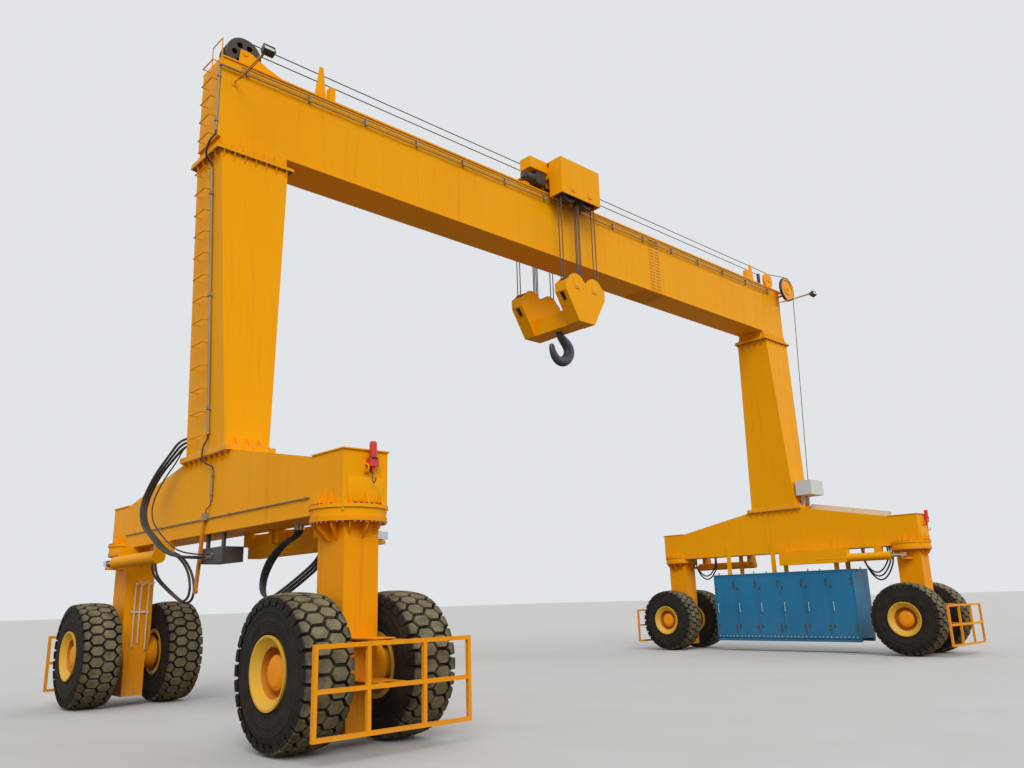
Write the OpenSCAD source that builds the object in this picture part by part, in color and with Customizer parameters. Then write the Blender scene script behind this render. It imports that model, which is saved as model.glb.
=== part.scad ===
/* [Main sizes] */
// Distance between the centre lines of the two ground beams
gauge_w = 17932; // [16000:2:20000]
// Distance between the front and rear kingposts of one ground beam
wheelbase_w = 7654; // [7000:2:9000]
// Length of the girder beyond the centre of each leg
girder_over = 687; // [600:1:900]
// Width of the main girder
girder_w = 803; // [600:1:1000]
// Height of the girder's underside above the ground
girder_z = 9790; // [8000:10:12000]
// Height of the main girder
girder_h = 1633; // [1200:1:2000]
/* [Running gear] */
// Outer diameter of a tyre
tyre_d = 1870; // [1600:10:2200]
// Width of a tyre
tyre_w = 660; // [500:10:760]
// Distance from a kingpost's centre to a tyre's centre
tyre_offset = 750; // [700:5:800]
// Diameter of the rim's outer edge
rim_d = 874; // [700:2:1000]
/* [Ground beam] */
// Half length of a ground beam
beam_half = 4220; // [4000:10:5000]
// Width of a ground beam
beam_w = 685; // [500:5:800]
// Height of a ground beam's underside above the ground
beam_z = 2864; // [2500:2:3200]
/* [Hoist] */
// Rest position of the trolley along the girder
trolley_x = -650; // [-650:1:-650]
// Radius of a hoist rope
rope_r = 13; // [8:1:20]
// Radius of a hoist sheave at its rim
sheave_r = 295; // [260:1:310]
/* [Hidden] */

paint = [0.93, 0.62, 0.08];
dark = [0.13, 0.13, 0.14];
steel = [0.55, 0.56, 0.58];
blue = [0.14, 0.47, 0.65];
red = [0.8, 0.1, 0.08];
pale = [0.8, 0.79, 0.72];
fine = 48;
gap = 0.3;
side_x = gauge_w / 2;
post_y = wheelbase_w / 2;
axle_z = tyre_d / 2;

// Box between two corners
module box(x0, x1, y0, y1, z0, z1) {
    translate([x0, y0, z0]) cube([x1 - x0, y1 - y0, z1 - z0]);
}
// Round bars along each axis
module bar_x(x0, x1, y, z, r) {
    translate([x0, y, z]) rotate([0, 90, 0]) cylinder(h = x1 - x0, r = r, $fn = fine);
}
module bar_y(y0, y1, x, z, r) {
    translate([x, y0, z]) rotate([-90, 0, 0]) cylinder(h = y1 - y0, r = r, $fn = fine);
}
module bar_z(z0, z1, x, y, r) {
    translate([x, y, z0]) cylinder(h = z1 - z0, r = r, $fn = fine);
}
// Profile in the X and Z plane, as thick as from y0 to y1
module slab_xz(points, y0, y1) {
    translate([0, y1, 0]) rotate([90, 0, 0]) linear_extrude(y1 - y0) polygon(points);
}
// Profile in the Y and Z plane, as thick as from x0 to x1
module slab_yz(points, x0, x1) {
    translate([x0, 0, 0]) rotate([90, 0, 90]) linear_extrude(x1 - x0) polygon(points);
}

// Straight rope or pipe through chosen points, with a small ferrule at each bend
ferrule = 2;
module run_of(points, r) {
    for (i = [0 : len(points) - 2]) {
        d = points[i + 1] - points[i];
        translate(points[i]) rotate([0, acos(d[2] / norm(d)), atan2(d[1], d[0])])
            cylinder(h = norm(d), r = r, $fn = fine);
    }
    for (p = points) translate(p) sphere(r = r + ferrule, $fn = fine);
}
// Smooth tube that follows chosen points, straight at both ends
function mid(a, b) = (a + b) / 2;
function bend(a, b, c, k) = mid(a, b) * (1 - k) * (1 - k) + 2 * b * k * (1 - k) + mid(b, c) * k * k;
function smooth(p, n) = concat([p[0]], [for (i = [1 : len(p) - 2], k = [0 : n])
    if (k < n || i == len(p) - 2) bend(p[i - 1], p[i], p[i + 1], k / n)], [p[len(p) - 1]]);
function unit(v) = v / norm(v);
function tangent(p, i) = unit(p[min(i + 1, len(p) - 1)] - p[max(i - 1, 0)]);
function tube_faces(rings, sides) = concat(
    [[for (j = [0 : sides - 1]) j]],
    [for (i = [0 : rings - 2], j = [0 : sides - 1])
        [i * sides + j, (i + 1) * sides + j, (i + 1) * sides + (j + 1) % sides, i * sides + (j + 1) % sides]],
    [[for (j = [0 : sides - 1]) rings * sides - 1 - j]]);
hose_sides = 8;
module hose(points, steps, r, ref) tube(smooth(points, steps), r, ref);
module tube(p, r, ref) {
    ring = [for (i = [0 : len(p) - 1], j = [0 : hose_sides - 1])
        let (t = tangent(p, i), s = unit(cross(t, ref)), u = cross(s, t), a = 360 * j / hose_sides)
        p[i] + r * (cos(a) * s + sin(a) * u)];
    polyhedron(points = ring, faces = tube_faces(len(p), hose_sides), convexity = 8);
}

// Girder
flange_t = 30;
flange_out = 25;
girder_top = girder_z + girder_h;
girder_end = side_x + girder_over;
rail_y = 300;
rail_w = 60;
rail_h = 80;
foot_plate_z = girder_z - 250;
foot_plate_t = 40;
foot_half_x = 640;
foot_half_y = 440;
plate_half_x = 740;
plate_half_y = 523;
rib_t = 16;
rib_depth = 90;
splice_x = 2900;
splice_half = 230;
splice_t = 12;
leg_top_ribs = [-600, -400, -200, 0, 200, 400, 600];
end_ribs = [-360, -120, 120, 360];

// Row of triangular ribs on the front and rear faces of a box end
module ribs_y(cx, face_y, zs, up, offsets, depth, tall) {
    for (o = offsets, s = [-1, 1])
        slab_yz([[s * (face_y - 1), zs], [s * (face_y + depth), zs], [s * (face_y - 1), zs + up * tall]],
            cx + o - rib_t / 2, cx + o + rib_t / 2);
}
module ribs_x(cx, face_x, zs, up, offsets, depth, tall) {
    for (o = offsets, s = [-1, 1])
        slab_xz([[cx + s * (face_x - 1), zs], [cx + s * (face_x + depth), zs],
            [cx + s * (face_x - 1), zs + up * tall]], o - rib_t / 2, o + rib_t / 2);
}
head_c = [513 - girder_end, 0, girder_top + 367];
head_r = 340;
head_half = 170;
head_pin_r = 50;
head_plate_y0 = 185;
head_plate_y1 = 215;
tail_c = [girder_end - 23, -720, girder_top - 30];
tail_r = 400;
tail_half = 40;
tail_pin_r = 45;
guide_c = [girder_end - 123, -120, girder_top + 427];
guide_r = 258;
guide_half = 30;
rope_y = 120;
haul_r = 11;
haul_line = head_r - 22 + haul_r + 1;
haul_z = head_c[2] + haul_line;
fin_left_x = 2103 - girder_end;
fin_right_x = girder_end - 1353;
fin_tall = 640;
fin_left_tall = 807;
stop_x0 = 2303 - girder_end;
stop_x1 = girder_end - 1753;
reel_plate_y = 45;
module girder() color(paint) difference() {
    union() {
        box(-girder_end, girder_end, -girder_w / 2, girder_w / 2, girder_z, girder_top);
        box(-girder_end, girder_end, -girder_w / 2 - flange_out, girder_w / 2 + flange_out,
            girder_top - flange_t, girder_top);
        box(-girder_end, girder_end, -girder_w / 2 - flange_out, girder_w / 2 + flange_out,
            girder_z, girder_z + flange_t);
        for (s = [-1, 1]) {
            box(stop_x0 - 300, stop_x1 + 300, s * rail_y - rail_w / 2, s * rail_y + rail_w / 2,
                girder_top - 1, girder_top + rail_h);
            box(s * side_x - foot_half_x, s * side_x + foot_half_x, -foot_half_y, foot_half_y,
                foot_plate_z + 1, girder_z + 1);
            box(s * side_x - plate_half_x, s * side_x + plate_half_x, -plate_half_y, plate_half_y,
                foot_plate_z, foot_plate_z + foot_plate_t);
            ribs_y(s * side_x, foot_half_y, foot_plate_z + foot_plate_t - 1, 1, leg_top_ribs, 70, 190);
            ribs_x(s * side_x, foot_half_x, foot_plate_z + foot_plate_t - 1, 1, end_ribs, rib_depth, 190);
            // bolted splice cover plates
            box(splice_x - splice_half, splice_x + splice_half, s * girder_w / 2 - splice_t,
                s * girder_w / 2 + splice_t, girder_z + 60, girder_top - 60);
            // end stops
            for (x = [stop_x0, stop_x1]) box(x - 60, x + 60, s * rail_y - 70, s * rail_y + 70,
                girder_top - 1, girder_top + 330);
            // head sheave plates
            slab_xz([[head_c[0] - 130, girder_top - 1], [head_c[0] - 90, head_c[2] + 60],
                [head_c[0] + 90, head_c[2] + 60], [head_c[0] + 480, girder_top + 250],
                [head_c[0] + 1000, girder_top + 90], [head_c[0] + 1020, girder_top - 1]],
                s > 0 ? head_plate_y0 : -head_plate_y1, s > 0 ? head_plate_y1 : -head_plate_y0);
        }
        box(splice_x - 420, splice_x + 420, -girder_w / 2 + 40, girder_w / 2 - 40,
            girder_z - 16, girder_z + 1);
        bar_y(-head_plate_y1 - 20, head_plate_y1 + 20, head_c[0], head_c[2], head_pin_r);
        // rope anchor behind the head sheave
        box(head_c[0] + 560, head_c[0] + 700, -170, 170, girder_top - 1, girder_top + 90);
        // fins
        slab_xz([[fin_left_x - 130, girder_top - 1], [fin_left_x - 20, girder_top + fin_left_tall],
            [fin_left_x + 60, girder_top + fin_left_tall], [fin_left_x + 160, girder_top - 1]], -220, -196);
        slab_xz([[fin_right_x - 200, girder_top - 1], [fin_right_x - 90, girder_top + fin_tall],
            [fin_right_x + 40, girder_top + fin_tall], [fin_right_x + 150, girder_top - 1]], -260, -236);
        // guide pulley plate and its pin
        slab_xz([[guide_c[0] - 200, girder_top - 1], [guide_c[0] - 70, guide_c[2] + 60],
            [guide_c[0] + 70, guide_c[2] + 60], [guide_c[0] + 120, girder_top - 1]], -70, -46);
        bar_y(-195, -60, guide_c[0], guide_c[2], 36);
        bar_y(guide_c[1] - guide_half, guide_c[1] + guide_half, guide_c[0], guide_c[2], guide_r - 30);
        for (q = [-1, 1]) bar_y(guide_c[1] + q * guide_half - 8, guide_c[1] + q * guide_half + 8,
            guide_c[0], guide_c[2], guide_r);
        // tail sheave bracket and its pin
        slab_xz([[tail_c[0] - 130, tail_c[2] - 200], [tail_c[0] - 90, tail_c[2] + 70],
            [tail_c[0] + 22, tail_c[2] + 70], [tail_c[0] + 22, tail_c[2] - 200]],
            tail_c[1] + reel_plate_y, tail_c[1] + reel_plate_y + 24);
        for (z = [-200, -80]) box(tail_c[0] - 120, tail_c[0] + 20, tail_c[1] + reel_plate_y + 20, 0,
            tail_c[2] + z, tail_c[2] + z + 24);
        bar_y(tail_c[1] - 70, tail_c[1] + reel_plate_y + 1, tail_c[0], tail_c[2], tail_pin_r);
    }
}

// Sheave with a rope groove, turned about its own axis
module sheave_profile(r, half_w, groove, bore, web) {
    rotate_extrude($fn = 96) difference() {
        translate([bore, -half_w]) square([r - bore, 2 * half_w]);
        translate([r, 0]) circle(r = groove, $fn = 24);
        for (s = [-1, 1]) translate([bore + (r - bore) * 0.36, s > 0 ? web : -half_w - 1])
            square([(r - bore) * 0.4, half_w - web + 1]);
    }
}
module head_sheave() color(dark) translate(head_c) rotate([90, 0, 0]) difference() {
    rotate_extrude($fn = 96) difference() {
        translate([head_pin_r + gap, -head_half]) square([head_r - head_pin_r - gap, 2 * head_half]);
        for (s = [-1, 1]) {
            translate([head_r, s * rope_y]) circle(r = 22, $fn = 24);
            translate([head_r - 22, s > 0 ? 30 : -90]) square([30, 60]);
        }
    }
    for (a = [0 : 60 : 300]) rotate([0, 0, a]) translate([190, 0, -head_half - 1])
        cylinder(h = 2 * head_half + 2, r = 60, $fn = fine);
}
module tail_sheave() color(paint) translate(tail_c) rotate([90, 0, 0])
    sheave_profile(tail_r, tail_half, 20, tail_pin_r + gap, 14);
tail_line = tail_r - 8;
module haul_ropes() color(dark) {
    for (s = [-1, 1]) {
        translate([head_c[0], s * rope_y, head_c[2]]) rotate([90, 0, 0]) rotate([0, 0, 90])
            rotate_extrude(angle = 180, $fn = 96) translate([haul_line + 2, 0]) circle(r = haul_r, $fn = 24);
        bar_x(head_c[0], head_c[0] + 559.7, s * rope_y, head_c[2] - haul_line - 2, haul_r);
        translate([head_c[0], s * rope_y, head_c[2] - haul_line - 2]) sphere(r = haul_r + ferrule,
            $fn = fine);
        translate([head_c[0], s * rope_y, haul_z + 2]) sphere(r = haul_r + ferrule, $fn = fine);
    }
    bar_x(head_c[0], girder_end - 253, rope_y, haul_z + 2, haul_r);
    box(girder_end - 293, girder_end - 213, rope_y - 40, rope_y + 40, girder_top, haul_z + 30);
    run_of([[head_c[0], -rope_y, haul_z + 2], [guide_c[0] + 150, -rope_y, haul_z + 2],
        [tail_c[0] - 150, tail_c[1], tail_c[2] + tail_line + 2],
        [tail_c[0], tail_c[1], tail_c[2] + tail_line + 2]], haul_r);
    translate(tail_c) rotate([90, 0, 0]) rotate_extrude(angle = 90, $fn = 96)
        translate([tail_line + 2, 0]) circle(r = haul_r, $fn = 24);
    // cable from the sheave down to the control box
    run_of([[tail_c[0] + tail_line + 2, tail_c[1], tail_c[2]],
        [side_x + 314, -880, leg_foot_z + box_top + haul_r + ferrule]], haul_r);
}

// Legs
leg_foot_z = beam_z + 1316;
leg_foot_half_x = 383.5;
leg_foot_half_y = 746.5;
leg_top_half_x = 640;
leg_top_half_y = 503.5;
foot_flange_half_x = 430;
foot_flange_half_y = 900;
foot_flange_t = 40;
leg_x_ribs = [-200, 0, 200];
module leg(s) color(paint) {
    leg_top = foot_plate_z - foot_plate_t;
    union() {
        intersection() {
            slab_xz([[s * side_x - leg_foot_half_x, leg_foot_z + 1], [s * side_x + leg_foot_half_x,
                leg_foot_z + 1],
                [s * side_x + leg_top_half_x, leg_top + 1], [s * side_x - leg_top_half_x, leg_top + 1]],
                -foot_flange_half_y, foot_flange_half_y);
            slab_yz([[-leg_foot_half_y, leg_foot_z + 1], [leg_foot_half_y, leg_foot_z + 1],
                [leg_top_half_y, leg_top + 1], [-leg_top_half_y, leg_top + 1]],
                s * side_x - plate_half_x, s * side_x + plate_half_x);
        }
        box(s * side_x - plate_half_x, s * side_x + plate_half_x, -plate_half_y - 40, plate_half_y + 40,
            leg_top, foot_plate_z);
        box(s * side_x - foot_flange_half_x, s * side_x + foot_flange_half_x, -foot_flange_half_y,
            foot_flange_half_y, leg_foot_z, leg_foot_z + foot_flange_t);
        ribs_y(s * side_x, leg_top_half_y - 8, leg_top + 1, -1, leg_top_ribs, 60, 210);
        ribs_x(s * side_x, leg_top_half_x - 10, leg_top + 1, -1, end_ribs, 90, 210);
        ribs_y(s * side_x, leg_foot_half_y - 8, leg_foot_z + foot_flange_t - 1, 1, leg_x_ribs, 140, 180);
    }
}
module leg_left() leg(-1);
module leg_right() leg(1);

// Ground beams with the fixed half of each slewing ring and its pin
beam_end_z = beam_z + 798;
beam_flat = 800;
beam_mid_y = 900;
beam_top_z = leg_foot_z - foot_flange_t;
ring_z = beam_z - 64;
ring_top_z = beam_z + 91;
ring_top_r = 520;
ring_band_r = 498;
ring_low_r = 510;
ring_low_t = 60;
ring_plate_t = 45;
ring_rib_top = ring_top_z + 230;
king_pin_r = 150;
king_pin_low = ring_z - 350;
module ground_beam(s) color(paint) union() {
    slab_yz([[-beam_half, beam_z], [beam_half, beam_z], [beam_half, beam_end_z],
        [beam_half - beam_flat, beam_end_z], [beam_mid_y, beam_top_z], [-beam_mid_y, beam_top_z],
        [beam_flat - beam_half, beam_end_z], [-beam_half, beam_end_z]],
        s * side_x - beam_w / 2, s * side_x + beam_w / 2);
    box(s * side_x - foot_flange_half_x, s * side_x + foot_flange_half_x, -foot_flange_half_y,
        foot_flange_half_y, beam_top_z - 1, leg_foot_z);
    ribs_x(s * side_x, beam_w / 2, beam_top_z, -1,
        [-800, -600, -400, -200, 0, 200, 400, 600, 800], 80, 160);
    for (e = [-1, 1]) translate([s * side_x, e * post_y, 0]) {
        bar_z(ring_top_z - ring_plate_t, ring_top_z, 0, 0, ring_top_r);
        bar_z(ring_z, ring_top_z - 1, 0, 0, ring_band_r);
        bar_z(king_pin_low, ring_z + 1, 0, 0, king_pin_r);
        for (o = [-330, -165, 0, 165, 330], q = [-1, 1])
            slab_xz([[q * (beam_w / 2 - 1), ring_top_z - 1], [q * (ring_top_r - 50 - abs(o) * 0.35),
                ring_top_z - 1],
                [q * (beam_w / 2 - 1), ring_rib_top]], o - rib_t / 2, o + rib_t / 2);
        for (o = [-240, 0, 240])
            slab_yz([[e * (beam_half - post_y - 1), ring_top_z - 1],
                [e * (ring_top_r - 30 - abs(o) * 0.2), ring_top_z - 1],
                [e * (beam_half - post_y - 1), ring_rib_top]], o - rib_t / 2, o + rib_t / 2);
    }
}
module beam_left() ground_beam(-1);
// Beam with the hanger plates that carry the power pack
hanger_y = [-1800, 190, 1750];
hanger_half = 70;
hanger_t = 26;
hanger_up = 316;
pack_top = beam_z - 594;
module hanger_plates(up, low, high) for (y = hanger_y, s = [-1, 1])
    box(s > 0 ? side_x + beam_w / 2 - up : side_x - beam_w / 2 - hanger_t,
        s > 0 ? side_x + beam_w / 2 + hanger_t : side_x - beam_w / 2 + up,
        y - hanger_half, y + hanger_half, low, high);
module beam_right() union() {
    ground_beam(1);
    color(paint) hanger_plates(1, beam_z, beam_z + hanger_up);
    color(paint) hanger_plates(0, pack_top, beam_z + 1);
}

// Kingposts, each with its lower ring, column, axle stubs and steering crank
post_half_x = 260;
post_half_y = 320;
post_bend_z = 1200;
post_low_z = 170;
post_low_half_x = 190;
crank_r = 500;
crank_z0 = beam_z - 384;
crank_z1 = beam_z - 334;
post_rib_low = ring_z - 300;
crank_pin_r = 30;
hub_x = 425;
hub_r = 300;
stub_r = 120;
stub_end = 980;
module kingpost(s, e, crank) color(paint) translate([s * side_x, e * post_y, 0]) difference() {
    union() {
        bar_z(ring_z - ring_low_t, ring_z - gap, 0, 0, ring_low_r);
        box(-post_half_x, post_half_x, -post_half_y, post_half_y, post_bend_z - 1, ring_z - ring_low_t + 1);
        slab_xz([[-post_half_x, post_bend_z], [-post_low_half_x, axle_z - 200], [-post_low_half_x,
            post_low_z],
            [post_low_half_x, post_low_z], [post_low_half_x, axle_z - 200], [post_half_x, post_bend_z]],
            -post_half_y, post_half_y);
        for (a = [60 : 30 : 300]) rotate([0, 0, a + (crank > 0 ? 0 : 180)])
            slab_xz([[150, ring_z - ring_low_t + 1], [ring_low_r - 25, ring_z - ring_low_t + 1],
                [ring_low_r - 60, ring_z - ring_low_t - 90], [300, post_rib_low], [150, post_rib_low]],
                -rib_t / 2, rib_t / 2);
        bar_x(-hub_x, hub_x, 0, axle_z, hub_r);
        bar_x(-stub_end, stub_end, 0, axle_z, stub_r);
        slab_xy([[crank * (post_half_x - 60), -140], [crank * (crank_r + 50), -60],
            [crank * (crank_r + 50), 60], [crank * (post_half_x - 60), 140]], crank_z0, crank_z1);
        bar_z(crank_z1 - 1, crank_z1 + 125, crank * crank_r, 0, crank_pin_r);
    }
    bar_z(king_pin_low - 40, ring_z, 0, 0, king_pin_r + gap);
}
module slab_xy(points, z0, z1) {
    translate([0, 0, z0]) linear_extrude(z1 - z0) polygon(points);
}
module kingpost_fl() kingpost(-1, -1, 1);
module kingpost_rl() kingpost(-1, 1, -1);
module kingpost_fr() kingpost(1, -1, -1);
module kingpost_rr() kingpost(1, 1, 1);

// Guard frame in front of each pair of tyres
guard_y = 1123;
guard_half_x = 1120;
guard_z0 = 260;
guard_z1 = 1280;
guard_mid_z = 780;
guard_bar = 25;
guard_posts = [-1095, -400, 400, 1095];
arm_x = 140;
module guard(s, e) color(paint) translate([s * side_x, e * post_y, 0]) {
    for (z = [guard_z0 + guard_bar, guard_mid_z, guard_z1 - guard_bar])
        box(-guard_half_x, guard_half_x, e * guard_y - guard_bar, e * guard_y + guard_bar,
            z - guard_bar, z + guard_bar);
    for (x = guard_posts) box(x - guard_bar, x + guard_bar, e * guard_y - guard_bar, e * guard_y + guard_bar,
        guard_z0, guard_z1);
    for (x = [-arm_x, arm_x], z = [guard_mid_z, guard_z1 - guard_bar])
        box(x - guard_bar, x + guard_bar, e > 0 ? post_half_y : -guard_y, e > 0 ? guard_y : -post_half_y,
            z - guard_bar, z + guard_bar);
}
module guard_fl() guard(-1, -1);
module guard_rl() guard(-1, 1);
module guard_fr() guard(1, -1);
module guard_rr() guard(1, 1);

// Wheels
rim_edge = rim_d / 2;
bead_r = rim_edge - 12;
tyre_in = -tyre_w / 2;
rim_out = 345;
module tyre(s, e, o) color(dark) translate([s * side_x + o * tyre_offset, e * post_y, axle_z])
    rotate([0, o * 90, 0]) rotate_extrude($fn = 128) polygon([
        [bead_r + gap, -300], [bead_r + 30, -312], [520, -322], [640, tyre_in], [760, -322], [850, -308],
        [895, -290], [922, -262], [tyre_d / 2, -225], [tyre_d / 2, 225], [922, 262], [895, 290],
        [850, 308], [760, 322], [640, -tyre_in], [520, 322], [bead_r + 30, 312], [bead_r + gap, 300]]);
module rim(s, e, o) color(paint) translate([s * side_x + o * tyre_offset, e * post_y, axle_z])
    rotate([0, o * 90, 0]) rotate_extrude($fn = 96) polygon([
        [stub_r + gap, -250], [210, -250], [210, -60], [360, -20], [360, -300], [bead_r, -300],
        [bead_r, 300], [rim_edge, 322], [rim_edge, rim_out], [rim_edge - 26, rim_out], [300, 255],
        [300, 100], [206, 100], [206, 215], [150, 250], [0, 256], [0, 236], [stub_r + gap, 236]]);
module tyre_flo() tyre(-1, -1, -1);
module tyre_fli() tyre(-1, -1, 1);
module tyre_rlo() tyre(-1, 1, -1);
module tyre_rli() tyre(-1, 1, 1);
module tyre_fro() tyre(1, -1, 1);
module tyre_fri() tyre(1, -1, -1);
module tyre_rro() tyre(1, 1, 1);
module tyre_rri() tyre(1, 1, -1);
module rim_flo() rim(-1, -1, -1);
module rim_fli() rim(-1, -1, 1);
module rim_rlo() rim(-1, 1, -1);
module rim_rli() rim(-1, 1, 1);
module rim_fro() rim(1, -1, 1);
module rim_fri() rim(1, -1, -1);
module rim_rro() rim(1, 1, 1);
module rim_rri() rim(1, 1, -1);

// Steering cylinders: fixed barrel under the beam, sliding rod with a slotted end on the crank pin
barrel_z = beam_z - 269;
barrel_r = 112;
barrel_ring = 3;
rod_r = 45;
barrel_y0 = post_y - 2487;
barrel_y1 = post_y - 377;
rod_y0 = post_y - 1227;
bore_y0 = post_y - 1527;
trough_y0 = 150;
trough_y1 = post_y - 1577;
trough_half = 108;
yoke_half_y = 78;
slot_half_y = crank_pin_r + 5;
yoke_x0 = 400;
yoke_x1 = 580;
yoke_z0 = beam_z - 319;
yoke_z1 = beam_z - 219;
module steer_barrel(s, e, crank) {
    cx = s * side_x + crank * crank_r;
    inner = crank > 0 ? s * side_x + 240 : cx - 60;
    outer = crank > 0 ? cx + 60 : s * side_x - 240;
    difference() {
        union() {
            bar_y(e > 0 ? barrel_y0 : -barrel_y1, e > 0 ? barrel_y1 : -barrel_y0, cx, barrel_z, barrel_r);
            for (y = [barrel_y0 + 60, barrel_y1 - 60])
                bar_y(e * y - 60, e * y + 60, cx, barrel_z, barrel_r + barrel_ring);
            for (y = [barrel_y0 + 60, barrel_y1 - 360])
                box(inner, outer, e * y - 60, e * y + 60, barrel_z + 60, beam_z);
            // closed trough behind each front barrel
            if (e < 0) {
                box(cx - trough_half, cx + trough_half, -trough_y1, -trough_y0, barrel_z - 116, beam_z - 10);
                for (y = [-360, -1200]) box(inner, outer, y - 60, y + 60, barrel_z + 60, beam_z);
            }
        }
        bar_y(e > 0 ? bore_y0 : -barrel_y1 - 1, e > 0 ? barrel_y1 + 1 : -bore_y0,
            cx, barrel_z, rod_r + gap);
    }
}
module steer_barrels_left() color(paint) {
    steer_barrel(-1, -1, 1);
    steer_barrel(-1, 1, -1);
}
module steer_barrels_right() color(paint) {
    steer_barrel(1, -1, -1);
    steer_barrel(1, 1, 1);
}
module steer_rod(s, e, crank) color(steel) {
    cx = s * side_x + crank * crank_r;
    y0 = min(e * rod_y0, e * (post_y - yoke_half_y + 2));
    y1 = max(e * rod_y0, e * (post_y - yoke_half_y + 2));
    bar_y(y0, y1, cx, barrel_z, rod_r);
    x0 = crank > 0 ? s * side_x + yoke_x0 : s * side_x - yoke_x1;
    difference() {
        box(x0, x0 + yoke_x1 - yoke_x0, e * post_y - yoke_half_y, e * post_y + yoke_half_y, yoke_z0, yoke_z1);
        box(cx - (crank > 0 ? 70 : 40), cx + (crank > 0 ? 40 : 70), e * post_y - slot_half_y,
            e * post_y + slot_half_y, yoke_z0 - 1, yoke_z1 + 1);
    }
}
module steer_rod_fl() steer_rod(-1, -1, 1);
module steer_rod_rl() steer_rod(-1, 1, -1);
module steer_rod_fr() steer_rod(1, -1, -1);
module steer_rod_rr() steer_rod(1, 1, 1);

// Step irons on the left leg and on the end of the girder, and a grab rail above them
leg_top_z = foot_plate_z - foot_plate_t;
leg_slope = (leg_top_half_x - leg_foot_half_x) / (leg_top_z - leg_foot_z);
function leg_face(z) = -side_x - leg_foot_half_x - (z - leg_foot_z) * leg_slope;
step_r = 10;
step_out = 130;
step_gap = 0.6;
rail_gap = 12.7;
step_low = leg_foot_z + 290;
step_pitch = 400;
end_low = girder_z + 60;
end_pitch = 370;
rail_tall = 430;
module step_iron(x, y0, y1, z) {
    for (y = [y0, y1]) bar_x(x - step_out, x - step_gap, y, z, step_r);
    bar_y(y0 - step_r - ferrule, y1 + step_r + ferrule, x - step_out, z, step_r + ferrule);
}
module ladder() color(paint) {
    for (i = [0 : 12]) step_iron(leg_face(step_low + i * step_pitch), -130, 280, step_low + i * step_pitch);
    for (i = [0 : 4]) step_iron(-girder_end, -300, 110, end_low + i * end_pitch);
    run_of([[30 - girder_end, -300, girder_top + rail_gap], [30 - girder_end, -300, girder_top + rail_tall],
        [30 - girder_end, 110, girder_top + rail_tall], [30 - girder_end, 110, girder_top + rail_gap]],
            step_r);
}

// Pipes and cables on the faces of the girder, the left leg and the left beam
pipe_y = -455;
pipe_x = -girder_end - 30;
leg_pipe_y = -190;
leg_pipe_r = 27;
leg_pipe_low = leg_foot_z + 320;
leg_pipe_high = foot_plate_z - 290;
leg_pipe_off = leg_pipe_r + 2;
face_x = -side_x - beam_w / 2;
long_pipe_z = beam_z + 246;
short_z0 = beam_z + 526;
short_z1 = leg_foot_z - 300;
end_pipe_r = 22;
end_pipe_low = girder_z + 110;
junction_top = beam_z + 336;
clamp_gap = 0.4;
module conduits() color(dark) {
    for (z = [-233, -123]) bar_x(353 - girder_end, girder_end - 653, pipe_y, girder_top + z, 14);
    for (i = [0 : 14]) box(453 - girder_end + i * (2 * girder_end - 1246) / 14,
        483 - girder_end + i * (2 * girder_end - 1246) / 14, -girder_w / 2 - 72, -girder_w / 2,
        girder_top - 253, girder_top - 103);
    // pipe on the end of the girder, bent round to the pipes on its face
    run_of([[pipe_x, -390, end_pipe_low], [pipe_x, -390, girder_top - 233], [pipe_x, pipe_y,
        girder_top - 233],
        [353 - girder_end, pipe_y, girder_top - 233]], end_pipe_r);
    for (z = [girder_z + 310, girder_top - 423])
        box(-girder_end - 60, -girder_end, -420, -360, z - 30, z + 30);
    // pipe down the left leg
    run_of([[leg_face(leg_pipe_high) - leg_pipe_off, leg_pipe_y, leg_pipe_high],
        [leg_face(leg_pipe_low) - leg_pipe_off, leg_pipe_y, leg_pipe_low]], leg_pipe_r);
    for (z = [leg_pipe_low + 400, (leg_pipe_low + leg_pipe_high) / 2, leg_pipe_high - 500])
        slab_xz([[leg_face(z) - clamp_gap, z], [leg_face(z + 60) - clamp_gap, z + 60],
            [leg_face(z + 60) - 64, z + 60], [leg_face(z) - 64, z]], leg_pipe_y - 42, leg_pipe_y + 42);
    // short pipe and junction box on the beam
    bar_z(short_z0, short_z1, face_x - 29, -325, 22);
    for (z = [beam_z + 620, leg_foot_z - 390]) box(face_x - 50, face_x, -355, -295, z - 15, z + 15);
    box(face_x - 70, face_x, -230, -80, beam_z + 216, junction_top);
    // long pipe along the left beam
    bar_y(417 - post_y, post_y - 372, face_x - 17, long_pipe_z, 11);
    for (y = [527 - post_y, -990, 400, 1700, post_y - 837])
        box(face_x - 34, face_x, y - 20, y + 20, long_pipe_z - 18, long_pipe_z + 18);
}

// Floodlights on arms at both ends of the girder
lamp_arm = 1250;
module floodlight(x, z) {
    bar_y(-girder_w / 2 - lamp_arm - 60, -girder_w / 2, x, z, 16);
    box(x - 50, x + 50, -girder_w / 2 - 14, -girder_w / 2, z - 70, z + 70);
    translate([x, -girder_w / 2 - lamp_arm, z - 14]) rotate([-25, 0, 0]) box(-105, 105, -80, 40, -110, 10);
}
module floodlights() color(dark) {
    floodlight(253 - girder_end, girder_top - 463);
    floodlight(girder_end - 203, girder_top - 463);
}

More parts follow.
